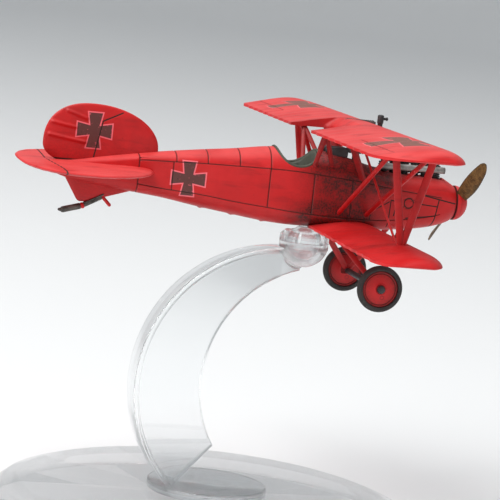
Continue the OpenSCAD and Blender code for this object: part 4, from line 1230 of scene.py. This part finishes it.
class BIPLANE_OT_wheels(bpy.types.Operator):
    """Two wheels: dished red cover discs with a lacing ring and valve flap, and black tyres"""

    bl_idname = "biplane.wheels"
    bl_label = "Wheels"

    def execute(self, context):
        for side, name in SIDES:
            centre = np.array([WHEEL[0], 0, WHEEL[2]])
            r = np.concatenate([np.linspace(HUB_HOLE_R, RIM_R - 0.06, 60), [RIM_R - 0.03, RIM_R]])
            dish = 0.45 - 0.23 * ((r - HUB_HOLE_R) / (RIM_R - HUB_HOLE_R)) ** 0.8
            dish = dish + 0.035 * bell(r - RIM_R + 0.18, 0.07) - 0.05 * bell(r - LACING_R, 0.05)
            dish = dish + 0.05 * bell(r - 0.62, 0.09)
            dish[-2:] = (0.20, 0.14)
            face = np.stack([dish, r], 1)
            ring = np.concatenate([face, (face * [-1, 1])[::-1]])
            turned = revolve(ring * [side, 1] + [side * WHEEL[1], 0], centre, "y", 96)
            rim = 0.8 * bell(ring[:, 1] - LACING_R, 0.05) + 0.8 * bell(ring[:, 1] - RIM_R, 0.2)
            hub = 0.45 * bell(ring[:, 1] - HUB_HOLE_R, 0.15)
            flap = np.hypot(turned[..., 0] - WHEEL[0] - 0.28, turned[..., 2] - WHEEL[2] + 0.95)
            wash = np.clip((rim + hub)[:, None] + 0.5 * bell(flap - 0.22, 0.05), 0, 1)
            # Darker towards the rim
            dirt_and_shade = 0.55 * bell(ring[:, 1:] - RIM_R, 0.8)
            Shell().grid(turned, around=True, along=True, wash=wash, grime=dirt_and_shade).piece(
                f"wheel_cover_{name}", f"wheel_{name}", "red_paint", "red_paint", f"wheel_disc_{name}")
            a = np.linspace(-2.35, 2.35, 36)
            tyre = np.stack([TYRE_R * np.sin(a), WHEEL_R - TYRE_R + TYRE_R * np.cos(a)], 1)
            tyre[:, 1] = np.maximum(tyre[:, 1], RIM_R - 0.02)
            tyre[:, 1] -= 0.02 * bell(np.abs(a) - 0.5, 0.08)
            turned = revolve(tyre * [side, 1] + [side * WHEEL[1], 0], centre, "y", 120)
            Shell().grid(turned, around=True, along=True).piece(
                f"tyre_{name}_rubber", f"wheel_{name}", "tyre_black", "tyre_rubber", f"tyre_{name}")
        return {"FINISHED"}


# ---- propeller ---------------------------------------------------------------

# Turn of the blades about the shaft, and the distance of their middle in front of the nose ring
PROP_TURN = math.radians(57)
DISC_X = 0.6
BLADE_LEN, BLADE_W, HUB_R = 10.2, 1.9, 0.95


def blade(way):
    """A thin oval that turns and thins along the blade. Its width swells as a sine of the blade's part k, and
    closes over the tip as a quarter circle."""
    near_tip = 1 - 0.14 * np.cos(np.linspace(0, np.pi / 2, 16))
    k = np.concatenate([np.linspace(0, 0.86, 46), near_tip[1:]])[:, None]
    tip = np.sqrt(np.clip(1 - (np.clip(k - 0.86, 0, 1) / 0.1405) ** 2, 0.004, 1))
    wide = BLADE_W * (0.6 + 0.4 * np.sin(np.pi * k)) * tip / 2
    thick = (0.42 - 0.28 * k) / 2 * np.maximum(tip, 0.4)
    pitch = np.radians(44 * k - 62)
    a = TAU * np.arange(32) / 32
    u, v = wide * np.cos(a), thick * np.sin(a)
    x = u * np.sin(pitch) - v * np.cos(pitch)
    y = (u * np.cos(pitch) + v * np.sin(pitch)) * way
    z = (0.5 + (BLADE_LEN - 0.5) * k + 0 * a) * way
    wash = np.clip(0.8 * bell(1 - np.abs(np.cos(a)), 0.10) + 0.7 * bell(k - 1, 0.03), 0, 1) + 0 * k
    c, s = math.cos(PROP_TURN), math.sin(PROP_TURN)
    return np.stack([x + DISC_X, c * y - s * z, s * y + c * z], -1), wash


class BIPLANE_OT_propeller(bpy.types.Operator):
    """Two-bladed carved propeller with its hub, the pointed cap in front of it and the shaft"""

    bl_idname = "biplane.propeller"
    bl_label = "Propeller"

    def execute(self, context):
        shell = Shell()
        for way in (1, -1):
            p, wash = blade(way)
            shell.grid(p, around=True, ends=True, wash=wash)
        back, front = DISC_X - 0.4, DISC_X + 0.4
        hub = round_profile([(back, 0), (back, HUB_R), (front, HUB_R), (front, 0)], 0.12)
        shell.grid(revolve(hub, (0, 0, 0), "x", 40), around=True)
        shell.piece("propeller_carved", "propeller", "brown_wood_paint", "propeller_wood", "propeller")
        low, high = local("spinner")
        radius, length = high[1], high[0] - low[0]
        t = np.linspace(0, np.pi / 2, 40)
        run = SPINNER_GAP + 0.02 + (length - 0.02) * np.sin(t)
        dome = np.stack([run, (radius - 0.01) * np.cos(t) ** 1.05], 1)
        dome = np.concatenate([[(0.05, 0.42), (0.05, radius - 0.06), (0.07, radius - 0.03)], dome])
        # Painted shade on the cap's back face and rim, in the gap in front of the nose ring, and a dark line
        # round the cap
        wash = (0.9 * bell(dome[:, 0] - 0.05, 0.06) + 0.5 * bell(dome[:, 0] - 0.62, 0.03))[:, None]
        Shell().grid(revolve(dome, (0, 0, 0), "x", 96), around=True, wash=wash).piece(
            "spinner_cap", "propeller", "red_paint", "red_paint", "spinner")
        low, high = local("propeller_shaft")
        bar = round_profile([(low[0], 0), (low[0], 0.39), (high[0], 0.39), (high[0], 0)], 0.06)
        Shell().grid(revolve(bar, (0, 0, 0), "x", 24), around=True).piece(
            "propeller_shaft_turned", "propeller", "steel_paint", "pipe_metal", "propeller_shaft")
        return {"FINISHED"}


# ---- stand -------------------------------------------------------------------

BALL_R = 2.0
BALL = np.array([(BALL_LOW[0] + BALL_HIGH[0]) / 2, 0, BALL_LOW[2] + BALL_R])
# Centres, along x and z from the ball's centre, and radii of the arm's outer and inner arcs
OUTER_C, OUTER_R = np.array([-1.9, -17.4]), 16.8
INNER_C, INNER_R = np.array([3.7, -17.0]), 14.2
CUP_R = 2.9
SOCKET_R = 2.05
# How far the arm reaches into the cup's wall, from the ball's centre
ARM_END_R = 2.55


def arm_grid():
    """A T-shaped section carried round the outer arc: a flange along the arc and a web that reaches in to the
    inner arc, whose distance at each angle comes from where a ray meets that circle."""
    foot = BASE_HIGH[2] + 0.2 - BALL[2]
    start = math.pi + math.asin((OUTER_C[1] - foot) / OUTER_R)
    a = np.linspace(start, 1.45, 120)
    ray = np.stack([np.cos(a), np.sin(a)], 1)
    web = way_out(ray, INNER_C, INNER_R)
    inside = np.hypot(*(OUTER_C + OUTER_R * ray).T) < ARM_END_R
    under_cup = np.where(inside, way_out(ray, np.zeros(2), ARM_END_R, -1), OUTER_R)
    return ray, np.minimum(under_cup, OUTER_R), np.minimum(web, under_cup - 0.3)


def way_out(ray, centre, radius, sign=1):
    """Distance along each ray from the outer arc's centre to a circle: the root of a quadratic."""
    gap = OUTER_C - centre
    along = ray @ gap
    return -along + sign * np.sqrt(np.maximum(along**2 - gap @ gap + radius**2, 0))


class BIPLANE_OT_stand(bpy.types.Operator):
    """Clear stand: round base, swivelling crescent arm with its cup, slotted collar and ball with its peg"""

    bl_idname = "biplane.stand"
    bl_label = "Clear stand"

    def execute(self, context):
        edge = context.scene.biplane_stand.edge / MM
        r, t = BASE_HIGH[0], BASE_HIGH[2]
        rim = [(0, 0), (0, r - 0.4), (0.4, r), (t - 1.6, r), (t - 0.6, r - 1.2), (t, r - 3.0)]
        profile = round_profile([*rim, (t, 2.7), (t - 1.7, 2.6), (t - 1.7, 0)], edge)
        Shell(ROW).grid(revolve(profile, (0, 0, 0), "z", 160), around=True).piece(
            "stand_base_clear", "base", "clear_plastic", "clear_base", "stand_base")
        self.arm(edge)
        self.collar()
        q = np.linspace(0, 2.72, 48)
        ball = np.stack([-BALL_R * np.cos(q), BALL_R * np.sin(q)], 1)
        profile = np.concatenate([ball, [(3.3, 0.8), (3.5, 0.6), (3.5, 0.0)]])
        Shell(ROW).grid(revolve(profile, BALL, "z", 64), around=True).piece(
            "ball_stud_clear", "ball", "clear_plastic", "clear_cup", "ball_stud")
        return {"FINISHED"}

    def arm(self, edge):
        """The arm, its foot disc and the round cup, as three closed surfaces of one moulding."""
        ray, outer, inner = arm_grid()
        lip, flange, web = 0.6, 2.3, 1.0
        share = np.linspace(0, 1, len(ray))
        narrow = 1 - 0.5 * (share > 0.94) - 0.25 * share**3
        rings = []
        for across, step in ((-flange, 0), (flange, 0), (flange, lip), (web, lip), (0.55 * web, None),
                             (-0.55 * web, None), (-web, lip), (-flange, lip)):
            out = inner if step is None else outer - np.minimum(step, (outer - inner) * 0.5)
            point = out[:, None] * ray + OUTER_C
            rings.append(np.stack([point[:, 0], across * narrow, point[:, 1]], 1))
        ring = np.stack(rings, 1)
        arm = Shell(ROW).grid(self.rounded(ring, edge) + BALL, around=True, ends=True)
        low, high, wide = BASE_HIGH[2] + 0.05, BASE_HIGH[2] + 1.05, 7.0
        foot = round_profile([(low, 0), (low, wide), (high, wide), (high, 0)], edge)
        arm.grid(revolve(foot, (0, 0, 0), "z", 96), around=True)
        q = np.linspace(0, math.acos(0.7 / CUP_R), 30)
        outside = np.stack([-CUP_R * np.cos(q), CUP_R * np.sin(q)], 1)
        q = np.linspace(math.acos(0.72 / SOCKET_R), 0, 26)
        inside = np.stack([-SOCKET_R * np.cos(q), SOCKET_R * np.sin(q)], 1)
        arm.grid(revolve(np.concatenate([outside, inside]), BALL, "z", 72), around=True)
        arm.piece("stand_arm_clear", "arm", "clear_plastic", "clear_arm", "stand_arm", crease=60)

    def rounded(self, ring, edge):
        """Each corner of every section cut back by edge and bent, all sections at once."""
        before, after = np.roll(ring, 1, 1), np.roll(ring, -1, 1)
        t = np.linspace(0, 1, 5)[:, None]
        ends = [ring + (q - ring) * np.minimum(edge / np.linalg.norm(q - ring, axis=-1, keepdims=True), 0.45)
                for q in (before, after)]
        first, corner, last = ends[0][:, :, None], ring[:, :, None], ends[1][:, :, None]
        curve = (1 - t) ** 2 * first + 2 * t * (1 - t) * corner + t * t * last
        return curve.reshape(len(ring), -1, 3)

    def collar(self):
        """The collar that snaps over the ball: a ring cut into six fingers, each a closed wedge."""
        low, high = -0.68, 1.3
        inner_r, outer_r = SOCKET_R + 0.01, CUP_R - 0.02
        shell = Shell(ROW)
        for k in range(6):
            a = math.radians(60 * k) + np.linspace(0.11, TAU / 6 - 0.11, 14)
            z = np.linspace(0.12, high, 10)
            inner = np.sqrt(inner_r**2 - z**2)
            outer = np.minimum(outer_r, outer_r - (z - high + 0.5))
            profile = np.concatenate([np.stack([z, inner], 1), np.stack([z, outer], 1)[::-1]])
            p = np.stack([profile[:, 1] * np.cos(a)[:, None], profile[:, 1] * np.sin(a)[:, None],
                          profile[:, 0] + 0 * a[:, None]], -1)
            shell.grid(p + BALL, around=True, ends=True)
        z = np.linspace(low, 0.1, 8)
        inner = np.sqrt(inner_r**2 - z**2)
        band = np.concatenate([np.stack([z, inner], 1), [(0.1, outer_r), (low, outer_r)]])
        shell.grid(revolve(band, BALL, "z", 72), around=True, along=True)
        shell.piece("socket_collar_clear", "arm", "clear_plastic", "clear_cup", "socket_collar")


# ---- stage -------------------------------------------------------------------


def flat_material(name, tint):
    """A plain matt finish for the stage."""
    made = bpy.data.materials.new(name)
    made.use_nodes = True
    shader = made.node_tree.nodes["Principled BSDF"]
    shader.inputs["Base Color"].default_value = (*tint, 1)
    shader.inputs["Roughness"].default_value = 0.9
    shader.inputs["Specular IOR Level"].default_value = 0.1
    return made


def soft_lamp(name, place, target, power, size_m, tint):
    """A square area lamp of size_m that looks at target; places are in metres."""
    data = bpy.data.lights.new(name, "AREA")
    data.energy, data.size, data.color = power, size_m, tint
    lamp = bpy.data.objects.new(name, data)
    bpy.context.scene.collection.objects.link(lamp)
    lamp.location = place
    lamp.rotation_mode = "QUATERNION"
    lamp.rotation_quaternion = (Vector(target) - Vector(place)).to_track_quat("-Z", "Y")


SENSOR, LENS = 36.0, 175.06
# How far the point that the camera turns about lies right of and above the middle of the view, in metres
SLIDE = (2.511 * MM, 7.17 * MM)


class BIPLANE_OT_stage(bpy.types.Operator):
    """Pale sweep, two soft lamps over the model, and the camera"""

    bl_idname = "biplane.stage"
    bl_label = "Stage"

    azimuth: bpy.props.FloatProperty(name="Azimuth", default=math.radians(-14.849), subtype="ANGLE")
    elevation: bpy.props.FloatProperty(name="Elevation", default=math.radians(7.485), subtype="ANGLE")
    roll: bpy.props.FloatProperty(name="Roll", default=math.radians(6.247), subtype="ANGLE")
    distance: bpy.props.FloatProperty(name="Distance", default=280.56 * MM, unit="LENGTH")

    def execute(self, context):
        self.floor()
        self.lamps()
        self.camera(context)
        return {"FINISHED"}

    def floor(self):
        """A round floor whose edge sweeps up as a quarter circle of the distance past its flat part, and then
        stands straight. Distances are in metres."""
        flat_r, wall_r, wall_top = 1.4, 2.4, 2.4
        r = np.concatenate([np.linspace(0, flat_r, 8), np.linspace(flat_r, wall_r, 24)[1:], [wall_r]])[:, None]
        rise = 1.0 - np.sqrt(np.clip(1 - np.clip(r - flat_r, 0, 1) ** 2, 0, 1))
        rise[-1] = wall_top
        a = TAU * np.arange(96) / 96
        p = np.stack([r * np.cos(a), r * np.sin(a), rise + 0 * a], -1)
        mesh = bpy.data.meshes.new("sweep")
        rows, cols = p.shape[:2]
        i, j = np.arange(rows - 1)[:, None], np.arange(cols)[None]
        quads = np.stack(np.broadcast_arrays(i * cols + j, i * cols + (j + 1) % cols,
                                             (i + 1) * cols + (j + 1) % cols, (i + 1) * cols + j), -1)
        mesh.from_pydata(p.reshape(-1, 3).tolist(), [], quads.reshape(-1, 4)[::-1, ::-1].tolist())
        mesh.shade_smooth()
        mesh.materials.append(flat_material("sweep_paper", (0.82, 0.83, 0.835)))
        sweep = bpy.data.objects.new("sweep", mesh)
        bpy.context.scene.collection.objects.link(sweep)

    def lamps(self):
        """A key lamp high over the tail on the camera's side, a weaker one overhead, and a pale surround."""
        centre = (0, 0, 0.035)
        soft_lamp("key", (-0.42, -0.24, 0.60), centre, 6.2, 0.6, (1.0, 0.985, 0.97))
        soft_lamp("overhead", (0.1, 0.05, 0.8), centre, 1.3, 0.6, (1.0, 0.99, 0.98))
        world = bpy.data.worlds.new("surround")
        bpy.context.scene.world = world
        world.use_nodes = True
        world.node_tree.nodes["Background"].inputs["Color"].default_value = (0.93, 0.955, 0.98, 1)
        world.node_tree.nodes["Background"].inputs["Strength"].default_value = 0.56

    def camera(self, context):
        """Looks from azimuth and elevation, turned by roll, and slides so that the model fills the frame."""
        a, e = self.azimuth, self.elevation
        right = Vector((math.cos(a), math.sin(a), 0))
        back = Vector((math.sin(a) * math.cos(e), -math.cos(a) * math.cos(e), math.sin(e)))
        up = back.cross(right)
        turned_right = right * math.cos(self.roll) + up * math.sin(self.roll)
        turned_up = up * math.cos(self.roll) - right * math.sin(self.roll)
        pivot = Vector((NOSE - [22, 0, 0]) * MM)
        slide = turned_right * SLIDE[0] + turned_up * SLIDE[1]
        data = bpy.data.cameras.new("camera")
        data.sensor_width, data.lens = SENSOR, LENS
        data.clip_start, data.clip_end = 0.01, 20
        camera = bpy.data.objects.new("camera", data)
        context.scene.collection.objects.link(camera)
        camera.location = pivot + back * self.distance - slide
        camera.rotation_euler = Matrix((turned_right, turned_up, back)).transposed().to_euler()
        context.scene.camera = camera
        context.scene.view_settings.view_transform = "Standard"


# ---- panel and registration --------------------------------------------------

OPERATORS = (
    BIPLANE_OT_stage, BIPLANE_OT_fuselage, BIPLANE_OT_cockpit, BIPLANE_OT_engine, BIPLANE_OT_exhaust,
    BIPLANE_OT_guns, BIPLANE_OT_upper_wing, BIPLANE_OT_lower_wings, BIPLANE_OT_struts, BIPLANE_OT_tailplane,
    BIPLANE_OT_fin, BIPLANE_OT_skid, BIPLANE_OT_undercarriage, BIPLANE_OT_wheels, BIPLANE_OT_propeller,
    BIPLANE_OT_stand,
)
SETTINGS = {
    "biplane_fuselage": FuselageSettings, "biplane_wings": WingSettings, "biplane_stand": StandSettings,
    "biplane_paint": PaintSettings,
}


class BIPLANE_PT_sidebar(bpy.types.Panel):
    """Lists the model's pieces and their settings"""

    bl_label = "Biplane scale model"
    bl_idname = "BIPLANE_PT_sidebar"
    bl_space_type = "VIEW_3D"
    bl_region_type = "UI"
    bl_category = "Biplane"

    def draw(self, context):
        for operator in OPERATORS:
            self.layout.operator(operator.bl_idname)
        for name, group in SETTINGS.items():
            for key in group.__annotations__:
                self.layout.prop(getattr(context.scene, name), key)


def register():
    for item in (*SETTINGS.values(), *OPERATORS, BIPLANE_PT_sidebar):
        bpy.utils.register_class(item)
    for name, group in SETTINGS.items():
        setattr(bpy.types.Scene, name, bpy.props.PointerProperty(type=group))


def unregister():
    for name in SETTINGS:
        delattr(bpy.types.Scene, name)
    for item in reversed((*SETTINGS.values(), *OPERATORS, BIPLANE_PT_sidebar)):
        bpy.utils.unregister_class(item)


def main():
    register()
    for operator in OPERATORS:
        family, action = operator.bl_idname.split(".")
        getattr(getattr(bpy.ops, family), action)()


if __name__ == "__main__":
    main()
